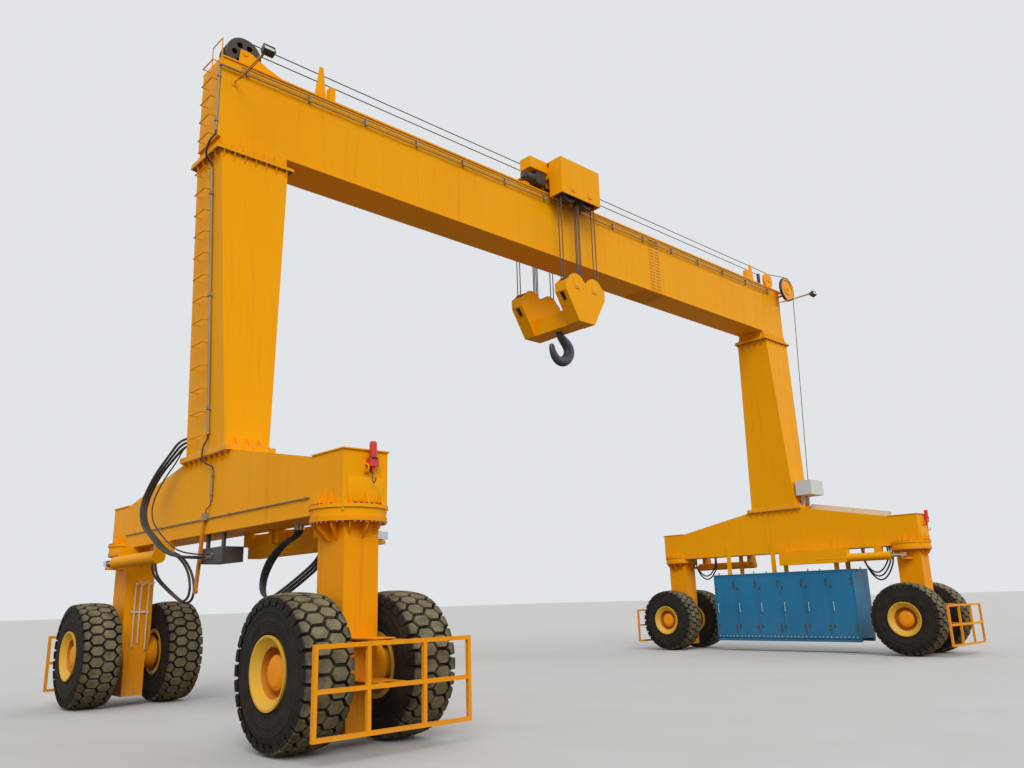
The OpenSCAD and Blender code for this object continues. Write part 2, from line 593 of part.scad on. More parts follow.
// Power pack cabinet under the right beam
pack_x0 = side_x - 466;
pack_x1 = side_x + 464;
pack_y = 2300;
pack_z0 = 300;
pack_z1 = pack_top;
pack_doors = 6;
module power_pack() color(blue) {
    difference() {
        box(pack_x0, pack_x1, -pack_y, pack_y, pack_z0 + 110, pack_z1);
        // door panels set in on both long faces
        for (i = [0 : pack_doors - 1], x = [pack_x0 - 1, pack_x1 - 14]) {
            w = 2 * pack_y / pack_doors;
            difference() {
                box(x, x + 15, -pack_y + i * w + 30, -pack_y + (i + 1) * w - 30, pack_z0 + 170, pack_z1 - 60);
                box(x - 1, x + 16, -pack_y + i * w + 42, -pack_y + (i + 1) * w - 42, pack_z0 + 182,
                    pack_z1 - 72);
            }
        }
    }
    for (x = [pack_x0 + 20, pack_x1 - 120]) box(x, x + 100, -pack_y, pack_y, pack_z0, pack_z0 + 111);
}

// Tray lying on the sloping top of the right beam
module cable_tray() color(pale) translate([side_x + beam_w / 2 - 200, -beam_mid_y, beam_top_z + gap]) {
    slope = atan2(beam_top_z - beam_end_z, beam_half - beam_flat - beam_mid_y);
    rotate([slope, 0, 0]) difference() {
        box(0, 190, 1820 - beam_half, -60, 0, 150);
        box(12, 178, 1819 - beam_half, -59, 12, 151);
    }
}
box_low = 340;
box_top = 770;
module control_box() color(pale) {
    box(side_x - 346, side_x + 414, -1290, -790, leg_foot_z + box_low, leg_foot_z + box_top);
    box(side_x - 96, side_x - 26, -880, -810, leg_foot_z + foot_flange_t, leg_foot_z + box_low + 1);
    box(side_x + 214, side_x + 284, -880, -810, leg_foot_z + foot_flange_t, leg_foot_z + box_low + 1);
}
beacon_z = beam_end_z - 212;
module beacons() color(red) for (s = [-1, 1]) {
    x = s > 0 ? side_x + 184 : 76 - side_x;
    box(x - 70, x + 70, -beam_half - 90, -beam_half, beacon_z, beacon_z + 110);
    bar_z(beacon_z + 109, beacon_z + 320, x, -beam_half - 55, 50);
    box(x - 12, x + 12, -beam_half - 60, -beam_half, beacon_z - 70, beacon_z + 1);
}
valve_x0 = -side_x - 324;
valve_z0 = beam_z - 464;
module valve_block() color(dark) {
    box(valve_x0, valve_x0 + 350, -750, 100, valve_z0, valve_z0 + 240);
    for (y = [-650, -80]) box(valve_x0 + 60, valve_x0 + 100, y, y + 80, valve_z0 + 239, beam_z);
}
hose_r = 22;
hose_thin = 13;
hose_end = 0.5;
hose_face = 1.2;
hose_pitch = 56;
hose_straight = 80;
valve_mid = beam_z - 374;
side_slope = (leg_foot_half_y - leg_top_half_y) / (leg_top_z - leg_foot_z);
function leg_side(z) = leg_foot_half_y - (z - leg_foot_z) * side_slope;
// Start of a hose on the rear face of the left leg
function leg_start(x, z) = [[x, leg_side(z) + hose_face, z], [x, leg_side(z) + hose_straight, z]];
// End of a hose on the outer face of the valve block
function valve_end(y, z) = [[valve_x0 - hose_straight, y, z], [valve_x0 - hose_end, y, z]];
bundle = [[-394, 870, 1560], [-470, 1010, 1400], [-560, 1420, 1120], [-640, 1760, 640], [-700, 1480, 260],
    [-706, 980, 20], [-700, 560, -200], [-640, 120, -350]];
thin_bundle = [[-424, 860, 1480], [-480, 900, 1310], [-590, 1160, 1010], [-660, 1400, 640], [-720, 1200, 340],
    [-760, 820, 140], [-760, 420, -70], [-700, 60, -260], [-560, -300, -330]];
loop = [[2290, -170], [1900, -250], [1500, -450], [1290, -710], [1300, -960], [1580, -1050], [1950, -940],
    [2480, -744], [2920, -560], [3080, -380]];
// Hose that leaves and meets the underside of a beam
function under(x, y0, y1, points) = concat([[x, y0, beam_z - hose_end], [x, y0, beam_z - hose_straight]],
    points, [[x, y1, beam_z - hose_straight], [x, y1, beam_z - hose_end]]);
// Wide loop that reaches back under the beam, and a short one
function wide_loop(x, e, shift, k) = under(x, e * (2310 - shift), e * (3100 - shift),
    [for (p = loop) [x, e * (p[0] - shift - 40 * k), beam_z + p[1] - (p[1] < -300 ? 30 * k : 0)]]);
function short_loop(x, y0, y1, sag) = under(x, y0, y1, [[x, y0, beam_z - sag * 0.6],
    [x, (2 * y0 + y1) / 3, beam_z - sag * 1.15], [x, (y0 + 2 * y1) / 3, beam_z - sag * 1.15],
    [x, y1, beam_z - sag * 0.6]]);
// Cables of the left leg: round the flanges, over the foot flange and into the junction box
leg_top_hose = [leg_face(leg_pipe_high) - leg_pipe_off, leg_pipe_y,
    leg_pipe_high + leg_pipe_r + ferrule + hose_end];
leg_foot_hose = [leg_face(leg_pipe_low) - leg_pipe_off, leg_pipe_y,
    leg_pipe_low - leg_pipe_r - ferrule - hose_end];
end_hose = [pipe_x, -390, end_pipe_low - end_pipe_r - ferrule - hose_end];
up = [0, 0, 60];
module leg_cables() {
    hose([end_hose, end_hose - up, [pipe_x - 52, -365, girder_z - 50], [pipe_x - 82, -310, girder_z - 150],
        [pipe_x - 85, -240, girder_z - 270], [pipe_x - 52, -190, girder_z - 370], leg_top_hose + up,
        leg_top_hose], 4, 19, [0.5, 1, 0.13]);
    hose([leg_foot_hose, leg_foot_hose - up, [face_x - 124, -130, leg_foot_z + 120],
        [face_x - 128, -90, leg_foot_z - 20], [face_x - 112, -80, leg_foot_z - 120],
        [face_x - 62, -180, leg_foot_z - 195], [face_x - 29, -325, short_z1 + 60],
        [face_x - 29, -325, short_z1 + hose_end]], 4, 14, [1, 0.1, 0.13]);
    hose([[face_x - 29, -325, short_z0 - hose_end], [face_x - 29, -325, short_z0 - 60],
        [face_x - 36, -250, junction_top + 70], [face_x - 36, -180, junction_top + 60],
        [face_x - 36, -180, junction_top + hose_end]], 4, 9, [1, 0, 0.13]);
}
module hoses() color(dark) {
    leg_cables();
    for (k = [0 : 2]) hose(concat(leg_start(-side_x - 234 - 50 * k, leg_foot_z + 320 + 45 * k),
        [for (i = [0 : len(bundle) - 1]) [bundle[i][0] - side_x - hose_pitch * k, bundle[i][1] - 30 * k,
            bundle[i][2] + beam_z + max(0, 40 - 20 * i) * k]],
        valve_end(-160 - 100 * k, valve_mid)), 4, hose_r, [1, 0.2, 0.9]);
    hose(concat(leg_start(-side_x - 364, leg_foot_z + 260),
        [for (p = thin_bundle) [p[0] - side_x, p[1], p[2] + beam_z]],
        valve_end(-430, valve_mid + 44)), 4, hose_thin, [1, 0.2, 0.9]);
    for (k = [0 : 2]) {
        hose(wide_loop(66 + hose_pitch * k - side_x, -1, 0, k), 4, hose_r, [1, 0, 0.01]);
        hose(short_loop(side_x + 36 + hose_pitch * k, -2420, -3150 - 40 * k, 600 + 90 * k), 5,
            hose_r, [1, 0, 0.01]);
    }
    for (k = [0 : 1]) {
        hose(wide_loop(-114 + hose_pitch * k - side_x, 1, 400, k), 4, hose_r, [1, 0, 0.01]);
        hose(short_loop(side_x - 114 + hose_pitch * k, 2420, 3150 + 40 * k, 500 + 90 * k), 5,
            hose_r, [1, 0, 0.01]);
    }
}
eye_z = beam_z - 874;
eye_y = 70;
bar_top_y = -100;
bar_half = 38;
eye_r = 25;
module hanging_bar() color(paint) difference() {
    union() {
        slab_yz([[bar_top_y - bar_half, beam_z + 208], [bar_top_y + bar_half, beam_z + 208],
            [eye_y + bar_half, eye_z], [eye_y - bar_half, eye_z]], face_x - 40, face_x);
        bar_x(face_x - 40, face_x, eye_y, eye_z, 50);
    }
    bar_x(face_x - 41, face_x + 1, eye_y, eye_z, eye_r);
}
// Trolley: two closed side boxes with the upper sheaves, joined over the girder
side_y0 = 550;
side_y1 = 960;
sheave_mid_y = (side_y0 + side_y1) / 2;
sheave_dx = 310;
groove_r = 22;
groove_y = 50;
sheave_half = 92;
rope_line = sheave_r - groove_r + rope_r + gap;
sheave_z = girder_top - 3;
sheave_pin_r = 50;
side_plate_t = 30;
trolley_half = 700;
trolley_low = girder_top - 183;
trolley_high = girder_top + 767;
wheel_r = 130;
wheel_dx = 480;
wheel_pin_r = 30;
wheel_z = girder_top + rail_h + wheel_r;
cross_z0 = girder_top + 337;
cross_z1 = girder_top + 627;
drive_x0 = -1950;
drive_x1 = trolley_x - trolley_half;
drive_y0 = -500;
drive_y1 = -150;
drive_low = girder_top + 467;
bumper_z = girder_top + 267;
module trolley_frame() color(paint) difference() {
    union() {
        for (s = [-1, 1]) difference() {
            box(trolley_x - trolley_half, trolley_x + trolley_half, s > 0 ? side_y0 : -side_y1,
                s > 0 ? side_y1 : -side_y0, trolley_low, trolley_high);
            box(trolley_x - trolley_half + side_plate_t, trolley_x + trolley_half - side_plate_t,
                s > 0 ? side_y0 + side_plate_t : side_plate_t - side_y1,
                s > 0 ? side_y1 - side_plate_t : -side_y0 - side_plate_t, trolley_low - 1,
                trolley_high - side_plate_t);
        }
        for (s = [-1, 1], x = [-1, 1]) bar_y(s > 0 ? side_y0 + 1 : 1 - side_y1,
            s > 0 ? side_y1 - 1 : -side_y0 - 1,
            trolley_x + x * sheave_dx, sheave_z, sheave_pin_r);
        // cover and cross beams over the girder
        box(trolley_x - trolley_half, trolley_x + trolley_half, -side_y0 - 1, side_y0 + 1,
            trolley_high - side_plate_t, trolley_high);
        for (x = [-trolley_half, trolley_half - 90])
            box(trolley_x + x, trolley_x + x + 90, -side_y0 - 1, side_y0 + 1, cross_z0, cross_z1);
        for (x = [-1, 1], y = [-1, 1], q = [-1, 1])
            box(trolley_x + x * wheel_dx - 150, trolley_x + x * wheel_dx + 150,
                y * rail_y + q * 62 - 10, y * rail_y + q * 62 + 10, wheel_z - 50, cross_z0 + 60);
        for (x = [-1, 1], y = [-1, 1]) {
            bar_y(y * rail_y - 72, y * rail_y + 72, trolley_x + x * wheel_dx, wheel_z + gap, wheel_pin_r);
            box(trolley_x + x * (wheel_dx + 90) - 60, trolley_x + x * (wheel_dx + 90) + 60,
                y * rail_y - 53, y * rail_y + 53, cross_z0 + 20, cross_z0 + 61);
        }
        // cover box over the travel drive
        box(drive_x0, drive_x1 + 1, drive_y0, drive_y1, drive_low, trolley_high - 10);
        // bumper arms
        for (y = [-rail_y, rail_y]) box(trolley_x + trolley_half - 1, trolley_x + trolley_half + 60,
            y - 70, y + 70, bumper_z - 90, bumper_z + 90);
    }
}
module rope_wheel() rotate_extrude($fn = 96) difference() {
    translate([sheave_pin_r + gap, -sheave_half]) square([sheave_r - sheave_pin_r - gap, 2 * sheave_half]);
    for (g = [-1, 1]) translate([sheave_r, g * groove_y]) circle(r = groove_r, $fn = 24);
    for (g = [-1, 1]) translate([110, g > 0 ? 30 : -sheave_half - 1]) square([110, sheave_half - 29]);
}
module trolley_sheaves() color(dark) {
    for (s = [-1, 1], x = [-1, 1])
        translate([trolley_x + x * sheave_dx, s * sheave_mid_y, sheave_z]) rotate([90, 0, 0]) rope_wheel();
    // running wheels on the rails
    for (x = [-1, 1], y = [-1, 1]) difference() {
        bar_y(y * rail_y - 45, y * rail_y + 45, trolley_x + x * wheel_dx, wheel_z + gap, wheel_r);
        bar_y(y * rail_y - 46, y * rail_y + 46, trolley_x + x * wheel_dx, wheel_z + gap, wheel_pin_r + gap);
    }
}
module trolley_drive() color(dark) {
    box(drive_x0 + 240, drive_x1 - 60, drive_y0 + 30, drive_y1 - 50, girder_top + rail_h + 60, drive_low);
    bar_x(drive_x0 - 50, drive_x0 + 241, drive_y0 + 165, girder_top + rail_h + 200, 120);
    box(drive_x0 - 110, drive_x0 - 49, drive_y0 + 95, drive_y0 + 235, girder_top + rail_h + 130,
        girder_top + rail_h + 270);
    for (y = [-rail_y, rail_y])
        bar_x(trolley_x + trolley_half + 60, trolley_x + trolley_half + 180, y, bumper_z, 65);
}

// Hoist ropes between the trolley and the hook block
block_sheave_z = 8910;
module hoist_ropes() color(dark)
    for (s = [-1, 1], g = [-1, 1], x = [-1, 1], q = [-1, 1])
        bar_z(block_sheave_z, sheave_z, trolley_x + x * sheave_dx + q * rope_line,
            s * sheave_mid_y + g * groove_y, rope_r);

// Hook block: two V-shaped cheek boxes with the lower sheaves, joined by a cross beam
block_low = 8040;
cheek_y0 = 575;
cheek_y1 = 935;
cheek_t = 28;
hump_r = 305;
cheek_outer = [[-270, 0], [270, 0], [690, 710], [690, 930], [600, 1010], [-600, 1010], [-690, 930],
    [-690, 710]];
cheek_inner = [[-300, 290], [300, 290], [640, 690], [660, 730], [660, 1200], [-660, 1200], [-660, 730],
    [-640, 690]];
function placed(pts, x, z) = [for (p = pts) [p[0] + x, p[1] + z]];
module cheek(s) color(paint) difference() {
    y0 = s > 0 ? cheek_y0 : -cheek_y1;
    y1 = s > 0 ? cheek_y1 : -cheek_y0;
    union() {
        difference() {
            union() {
                slab_xz(placed(cheek_outer, trolley_x, block_low), y0, y1);
                for (x = [-1, 1]) bar_y(y0, y1, trolley_x + x * sheave_dx, block_sheave_z, hump_r);
            }
            slab_xz(placed(cheek_inner, trolley_x, block_low), y0 + cheek_t, y1 - cheek_t);
        }
        for (x = [-1, 1]) bar_y(y0 + 1, y1 - 1, trolley_x + x * sheave_dx, block_sheave_z, sheave_pin_r);
    }
    for (x = [-1, 1]) slab_xy_cut(x, (y0 + y1) / 2);
}
// Sight slot in each slanted end wall of a cheek
module slab_xy_cut(x, y) {
    box(x > 0 ? trolley_x + 500 : trolley_x - 700, x > 0 ? trolley_x + 700 : trolley_x - 500,
        y - 70, y + 70, block_low + 440, block_low + 690);
}
module block_cheek_front() cheek(-1);
module block_cheek_rear() cheek(1);
shank_r = 75;
nut_r = 130;
nut_z = 260;
beam_h = 420;
module block_cross_beam() color(paint) difference() {
    box(trolley_x - 250, trolley_x + 250, -cheek_y0, cheek_y0, block_low, block_low + beam_h);
    bar_z(block_low - 1, block_low + nut_z, trolley_x, 0, shank_r + gap);
    bar_z(block_low + nut_z - 1, block_low + beam_h + 1, trolley_x, 0, nut_r + 12);
}
module block_sheaves() color(dark) for (s = [-1, 1], x = [-1, 1])
    translate([trolley_x + x * sheave_dx, s * sheave_mid_y, block_sheave_z]) rotate([90, 0, 0]) rope_wheel();

// Hook: lofted from its neck round the bowl to the tip, as rows of place and half sizes
hook_top = 8030;
hook_sides = 12;
hook_line = [[0, 8, 76, 76], [0, -30, 80, 80], [30, -90, 95, 88], [110, -155, 120, 96], [215, -230, 145, 104],
    [300, -320, 165, 110], [335, -430, 168, 112], [300, -545, 158, 110], [215, -650, 145, 104],
    [95, -725, 136, 100], [-40, -740, 126, 96], [-160, -680, 115, 88], [-240, -575, 103, 80],
    [-275, -460, 90, 70], [-287, -365, 70, 56], [-290, -325, 34, 30]];
function hook_p(i) = [hook_line[i][0], 0, hook_line[i][1]];
hook_n = len(hook_line);
module hook() color(dark) translate([trolley_x, 0, hook_top]) {
    pts = [for (i = [0 : hook_n - 1], j = [0 : hook_sides - 1])
        let (a = hook_p(max(i - 1, 0)), b = hook_p(min(i + 1, hook_n - 1)), t = unit(b - a),
            n = [t[2], 0, -t[0]], q = 360 * j / hook_sides)
        hook_p(i) + hook_line[i][2] * cos(q) * n + hook_line[i][3] * sin(q) * [0, 1, 0]];
    union() {
        polyhedron(points = pts, faces = tube_faces(hook_n, hook_sides), convexity = 6);
        bar_z(0, block_low + nut_z - hook_top + 1, 0, 0, shank_r);
        bar_z(block_low + nut_z - hook_top + gap, block_low + beam_h - hook_top + 30, 0, 0, nut_r);
    }
}

girder();
leg_left();
leg_right();
beam_left();
beam_right();
ladder();
haul_ropes();
conduits();
floodlights();
power_pack();
cable_tray();
control_box();
beacons();
steer_barrels_left();
steer_barrels_right();
valve_block();
hoses();
hanging_bar();
head_sheave();
tail_sheave();
trolley_frame();
trolley_sheaves();
trolley_drive();
hoist_ropes();
block_cheek_front();
block_cheek_rear();
block_cross_beam();
block_sheaves();
hook();
kingpost_fl();
kingpost_rl();
kingpost_fr();
kingpost_rr();
guard_fl();
guard_rl();
guard_fr();
guard_rr();
tyre_flo();
tyre_fli();
tyre_rlo();
tyre_rli();
tyre_fro();
tyre_fri();
tyre_rro();
tyre_rri();
rim_flo();
rim_fli();
rim_rlo();
rim_rli();
rim_fro();
rim_fri();
rim_rro();
rim_rri();
steer_rod_fl();
steer_rod_rl();
steer_rod_fr();
steer_rod_rr();
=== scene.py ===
# %% [markdown]
# # A rubber tyred gantry crane
# The crane's solids, in metres and already in place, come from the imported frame. Every cell below adds
# looks to them: a camera, a studio, painted and dusty finishes, and the small pieces that are too fine
# for the solids, such as tread blocks, bolts, hoses and door handles. The ground is at height 0, the
# girder runs along X, the ground beams along Y.

# %% Load the frame
import bpy, bmesh, math
from contextlib import contextmanager
from math import sin, cos, pi, radians
from mathutils import Matrix, Vector


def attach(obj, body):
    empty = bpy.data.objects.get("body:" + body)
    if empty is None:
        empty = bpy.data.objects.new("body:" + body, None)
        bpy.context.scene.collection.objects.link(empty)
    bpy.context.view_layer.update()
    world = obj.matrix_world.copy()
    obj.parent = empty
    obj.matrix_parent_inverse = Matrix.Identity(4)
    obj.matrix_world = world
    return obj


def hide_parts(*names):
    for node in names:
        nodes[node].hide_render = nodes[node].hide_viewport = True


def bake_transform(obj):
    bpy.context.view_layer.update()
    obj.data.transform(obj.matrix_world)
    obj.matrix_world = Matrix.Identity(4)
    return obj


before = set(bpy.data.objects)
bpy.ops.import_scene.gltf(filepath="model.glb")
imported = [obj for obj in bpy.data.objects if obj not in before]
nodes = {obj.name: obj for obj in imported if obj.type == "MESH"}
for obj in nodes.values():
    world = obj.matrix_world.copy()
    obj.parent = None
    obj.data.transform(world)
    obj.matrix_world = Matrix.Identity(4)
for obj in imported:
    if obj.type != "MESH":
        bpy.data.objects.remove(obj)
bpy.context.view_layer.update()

# %% [markdown]
# ## Sizes that the whole scene shares
# The crane has four corners, so most places repeat with a sign for each side. Left is -X, front is -Y.

# %% Shared sizes
SIDE = 8.966
POST = 3.827
AXLE = 0.935
TYRE_OFF = 0.75
TROLLEY = -0.65
BEAM_Z = 2.864
RING_TOP = 2.955
FOOT_Z = 4.18
GIRDER_TOP = 11.422
HEAD_Z = 11.42
BLOCK_Z = 8.91
AXLE_X = 0.31
CORNERS = {"fl": (-1, -1), "rl": (-1, 1), "fr": (1, -1), "rr": (1, 1)}
# every wheel: its key, its middle, and the side that its rim opens to
WHEELS = [(corner + place, s * SIDE + side * TYRE_OFF, e * POST, side) for corner, (s, e) in CORNERS.items()
          for place, side in (("o", s), ("i", -s))]
print("corners", {k: (s * SIDE, e * POST) for k, (s, e) in CORNERS.items()})

# %% [markdown]
# ## Hands for modelling
# Operators act on whatever is selected, and loading leaves the solids selected. So each piece starts
# with empty hands. A finished piece has its place in its mesh, its normals outwards, a material, and a
# body that it rides on.

# %% Modelling helpers
def empty_hands():
    if bpy.context.object and bpy.context.object.mode != "OBJECT":
        bpy.ops.object.mode_set(mode="OBJECT")
    bpy.ops.object.select_all(action="DESELECT")


def take(piece):
    empty_hands()
    piece.select_set(True)
    bpy.context.view_layer.objects.active = piece
    return piece


def settle(piece):
    take(piece)
    bpy.ops.object.transform_apply(location=True, rotation=True, scale=True)
    return piece


@contextmanager
def editing(action="SELECT"):
    """Edit mode on the piece in hand, with everything selected or nothing."""
    bpy.ops.object.mode_set(mode="EDIT")
    bpy.ops.mesh.select_all(action=action)
    yield
    bpy.ops.object.mode_set(mode="OBJECT")


def pick_faces(piece, wanted):
    """Selects the faces that pass a test."""
    edit = bmesh.from_edit_mesh(piece.data)
    for face in edit.faces:
        face.select = wanted(face)
    bmesh.update_edit_mesh(piece.data)


def round_edges(size, rounds=2):
    with editing():
        bpy.ops.mesh.bevel(offset=size, segments=rounds, affect="EDGES")


def block(lo, hi, bevel=0.0, rounds=2):
    empty_hands()
    mid = [(a + b) / 2 for a, b in zip(lo, hi)]
    bpy.ops.mesh.primitive_cube_add(size=1, location=mid)
    piece = bpy.context.object
    piece.scale = [b - a for a, b in zip(lo, hi)]
    settle(piece)
    if bevel:
        round_edges(bevel, rounds)
    return piece


def drum(start, end, radius, sides=24, bevel=0.0):
    a, b = Vector(start), Vector(end)
    empty_hands()
    bpy.ops.mesh.primitive_cylinder_add(vertices=sides, radius=radius, depth=(b - a).length,
                                        location=(a + b) / 2)
    piece = bpy.context.object
    piece.rotation_mode = "QUATERNION"
    piece.rotation_quaternion = (b - a).to_track_quat("Z", "Y")
    settle(piece)
    if bevel:
        round_edges(bevel)
    return piece


def ring_of(place, major, minor, turn=(0, 0, 0), around=24, across=8):
    empty_hands()
    bpy.ops.mesh.primitive_torus_add(location=place, rotation=turn, major_radius=major, minor_radius=minor,
                                     major_segments=around, minor_segments=across)
    return settle(bpy.context.object)


def into_scene(name, data):
    piece = bpy.data.objects.new(name, data)
    bpy.context.scene.collection.objects.link(piece)
    return piece


def drawn_piece(name, points, edges=(), faces=()):
    """A piece made from points, linked and in hand."""
    mesh = bpy.data.meshes.new(name)
    mesh.from_pydata(points, list(edges), list(faces))
    return take(into_scene(name, mesh))


def lathe(profile, steps=72, threshold=0.0004):
    """Spins a row of (radius, offset) points round the X axis."""
    piece = drawn_piece("lathe", [(x, 0, r) for r, x in profile],
                        [(i, i + 1) for i in range(len(profile) - 1)])
    with editing():
        bpy.ops.mesh.spin(steps=steps, angle=2 * pi, center=(0, 0, 0), axis=(1, 0, 0))
        bpy.ops.mesh.select_all(action="SELECT")
        bpy.ops.mesh.remove_doubles(threshold=threshold)
    return piece


def stamp(name, source, places):
    """Copies one modelled shape to many places, as one mesh."""
    gathered = bmesh.new()
    for place in places:
        copy = source.data.copy()
        copy.transform(place)
        gathered.from_mesh(copy)
        bpy.data.meshes.remove(copy)
    mesh = bpy.data.meshes.new(name)
    gathered.to_mesh(mesh)
    gathered.free()
    return into_scene(name, mesh)


def weld(name, pieces):
    """Joins finished shapes into one piece."""
    empty_hands()
    for piece in pieces:
        piece.select_set(True)
    bpy.context.view_layer.objects.active = pieces[0]
    if len(pieces) > 1:
        bpy.ops.object.join()
    pieces[0].name = name
    return pieces[0]


def dress(piece, name, body, finish, angle=35, merge=True):
    """Last touches: clean mesh, smooth shading, finish, name and the body it rides on."""
    take(piece)
    with editing():
        if merge:
            bpy.ops.mesh.remove_doubles(threshold=0.0002)
        bpy.ops.mesh.normals_make_consistent(inside=False)
    bpy.ops.object.shade_smooth_by_angle(angle=radians(angle))
    piece.name = name
    piece.data.name = name
    piece.data.materials.clear()
    piece.data.materials.append(finish)
    if body:
        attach(piece, body)
    return piece


def throw_away(*pieces):
    for piece in pieces:
        bpy.data.objects.remove(piece)


def at(x, y, z):
    return Matrix.Translation((x, y, z))


print("helpers ready")

# %% [markdown]
# ## Camera
# The photographer stood near the left front corner at eye height and looked up a little. The place and
# the turn come from matching the long edges of the girder, legs and beams.

# %% Camera
eye = Vector((-15.086, -13.5433, 1.6901))
yaw, pitch, roll = 0.814, 0.2515, -0.0292
PHOTO_WIDTH = 1024
focal = 842.89
ahead = Vector((cos(pitch) * cos(yaw), cos(pitch) * sin(yaw), sin(pitch)))
level = Vector((sin(yaw), -cos(yaw), 0))
above = level.cross(ahead)
right = cos(roll) * level + sin(roll) * above
up = -sin(roll) * level + cos(roll) * above
camera = bpy.data.objects.new("camera", bpy.data.cameras.new("camera"))
camera.data.sensor_width = 36
camera.data.lens = focal / PHOTO_WIDTH * camera.data.sensor_width
camera.data.clip_end = 500
camera.matrix_world = Matrix((
    (right.x, up.x, -ahead.x, eye.x), (right.y, up.y, -ahead.y, eye.y),
    (right.z, up.z, -ahead.z, eye.z), (0, 0, 0, 1)))
bpy.context.scene.collection.objects.link(camera)
bpy.context.scene.camera = camera
print("lens", round(camera.data.lens, 2), "mm")

# %% [markdown]
# ## Studio
# An overcast sky lights the crane softly from all round, with a little more from the front left. A pale
# floor keeps the shadow. Only rays that come straight from the camera, off a shiny face or through glass
# see the pale backdrop, so it adds no light. The floor is pale to the camera and brown to every other
# ray, as packed earth is, so undersides stay dark and warm.

# %% Studio
scene = bpy.context.scene
scene.view_settings.view_transform = "Standard"
empty_hands()
bpy.ops.mesh.primitive_plane_add(size=600, location=(0, 0, 0))
floor = bpy.context.object
floor.name = "floor"


def new_finish(name):
    finish = bpy.data.materials.new(name)
    finish.use_nodes = True
    finish.node_tree.nodes.clear()
    out = finish.node_tree.nodes.new("ShaderNodeOutputMaterial")
    shader = finish.node_tree.nodes.new("ShaderNodeBsdfPrincipled")
    finish.node_tree.links.new(shader.outputs["BSDF"], out.inputs["Surface"])
    return finish, finish.node_tree, shader


floor_finish, tree, shader = new_finish("floor_pale")
grit = tree.nodes.new("ShaderNodeTexNoise")
grit.inputs["Scale"].default_value = 0.7
grit.inputs["Detail"].default_value = 6
where = tree.nodes.new("ShaderNodeTexCoord")
tree.links.new(where.outputs["Object"], grit.inputs["Vector"])
tint = tree.nodes.new("ShaderNodeMix")
tint.data_type = "RGBA"
tint.inputs["A"].default_value = (0.48, 0.468, 0.448, 1)
tint.inputs["B"].default_value = (0.53, 0.522, 0.506, 1)
tree.links.new(grit.outputs["Fac"], tint.inputs["Factor"])
shown = tree.nodes.new("ShaderNodeMix")
shown.data_type = "RGBA"
shown.inputs["A"].default_value = (0.20, 0.16, 0.12, 1)
tree.links.new(tree.nodes.new("ShaderNodeLightPath").outputs["Is Camera Ray"], shown.inputs["Factor"])
tree.links.new(tint.outputs["Result"], shown.inputs["B"])
tree.links.new(shown.outputs["Result"], shader.inputs["Base Color"])
shader.inputs["Roughness"].default_value = 0.9
floor.data.materials.append(floor_finish)

world = bpy.data.worlds.new("studio")
scene.world = world
world.use_nodes = True
wt = world.node_tree
wt.nodes.clear()
w_out = wt.nodes.new("ShaderNodeOutputWorld")
soft = wt.nodes.new("ShaderNodeBackground")
soft.inputs["Color"].default_value = (0.93, 0.96, 1.0, 1)
soft.inputs["Strength"].default_value = 0.74
pale = wt.nodes.new("ShaderNodeBackground")
pale.inputs["Color"].default_value = (0.76, 0.78, 0.80, 1)
pale.inputs["Strength"].default_value = 1.0
rays = wt.nodes.new("ShaderNodeLightPath")
seen = rays.outputs["Is Camera Ray"]
for kind in ("Is Glossy Ray", "Is Transmission Ray"):
    either = wt.nodes.new("ShaderNodeMath")
    either.operation = "MAXIMUM"
    wt.links.new(seen, either.inputs[0])
    wt.links.new(rays.outputs[kind], either.inputs[1])
    seen = either.outputs[0]
blend = wt.nodes.new("ShaderNodeMixShader")
wt.links.new(seen, blend.inputs["Fac"])
wt.links.new(soft.outputs[0], blend.inputs[1])
wt.links.new(pale.outputs[0], blend.inputs[2])
wt.links.new(blend.outputs[0], w_out.inputs["Surface"])


def lamp(name, energy, angle, direction, colour):
    light = bpy.data.lights.new(name, "SUN")
    light.energy = energy
    light.angle = radians(angle)
    light.color = colour
    holder = bpy.data.objects.new(name, light)
    holder.rotation_mode = "QUATERNION"
    holder.rotation_quaternion = Vector(direction).to_track_quat("-Z", "Y")
    scene.collection.objects.link(holder)


lamp("sky_key", 1.80, 35, (0.55, 0.75, -0.75), (1.0, 0.985, 0.95))
lamp("sky_fill", 0.55, 60, (-0.9, 0.35, -0.45), (0.93, 0.96, 1.0))
print("studio ready")

# %% [markdown]
# ## Shared effects
# Paint on a machine like this is never one flat colour. It fades in broad patches, rain leaves faint
# streaks below flanges, dust gathers low down and on faces that look up, and edges are rubbed. Each
# effect is built once as a node group, and every painted finish uses it with its own values.

# %% Node group helpers
def new_group(name, inputs, outputs):
    group = bpy.data.node_groups.new(name, "ShaderNodeTree")
    for label, kind, value in inputs:
        socket = group.interface.new_socket(name=label, in_out="INPUT", socket_type=kind)
        socket.default_value = value
    for label, kind in outputs:
        group.interface.new_socket(name=label, in_out="OUTPUT", socket_type=kind)
    return group, group.nodes.new("NodeGroupInput"), group.nodes.new("NodeGroupOutput")


def feed(tree, target, source):
    if isinstance(source, (int, float, tuple)):
        target.default_value = source
    else:
        tree.links.new(source, target)


def calc(tree, operation, a, b=0.0, clamp=False):
    node = tree.nodes.new("ShaderNodeMath")
    node.operation = operation
    node.use_clamp = clamp
    feed(tree, node.inputs[0], a)
    feed(tree, node.inputs[1], b)
    return node.outputs[0]


def mix(tree, factor, a, b):
    node = tree.nodes.new("ShaderNodeMix")
    node.data_type = "RGBA"
    feed(tree, node.inputs["Factor"], factor)
    feed(tree, node.inputs["A"], a)
    feed(tree, node.inputs["B"], b)
    return node.outputs["Result"]


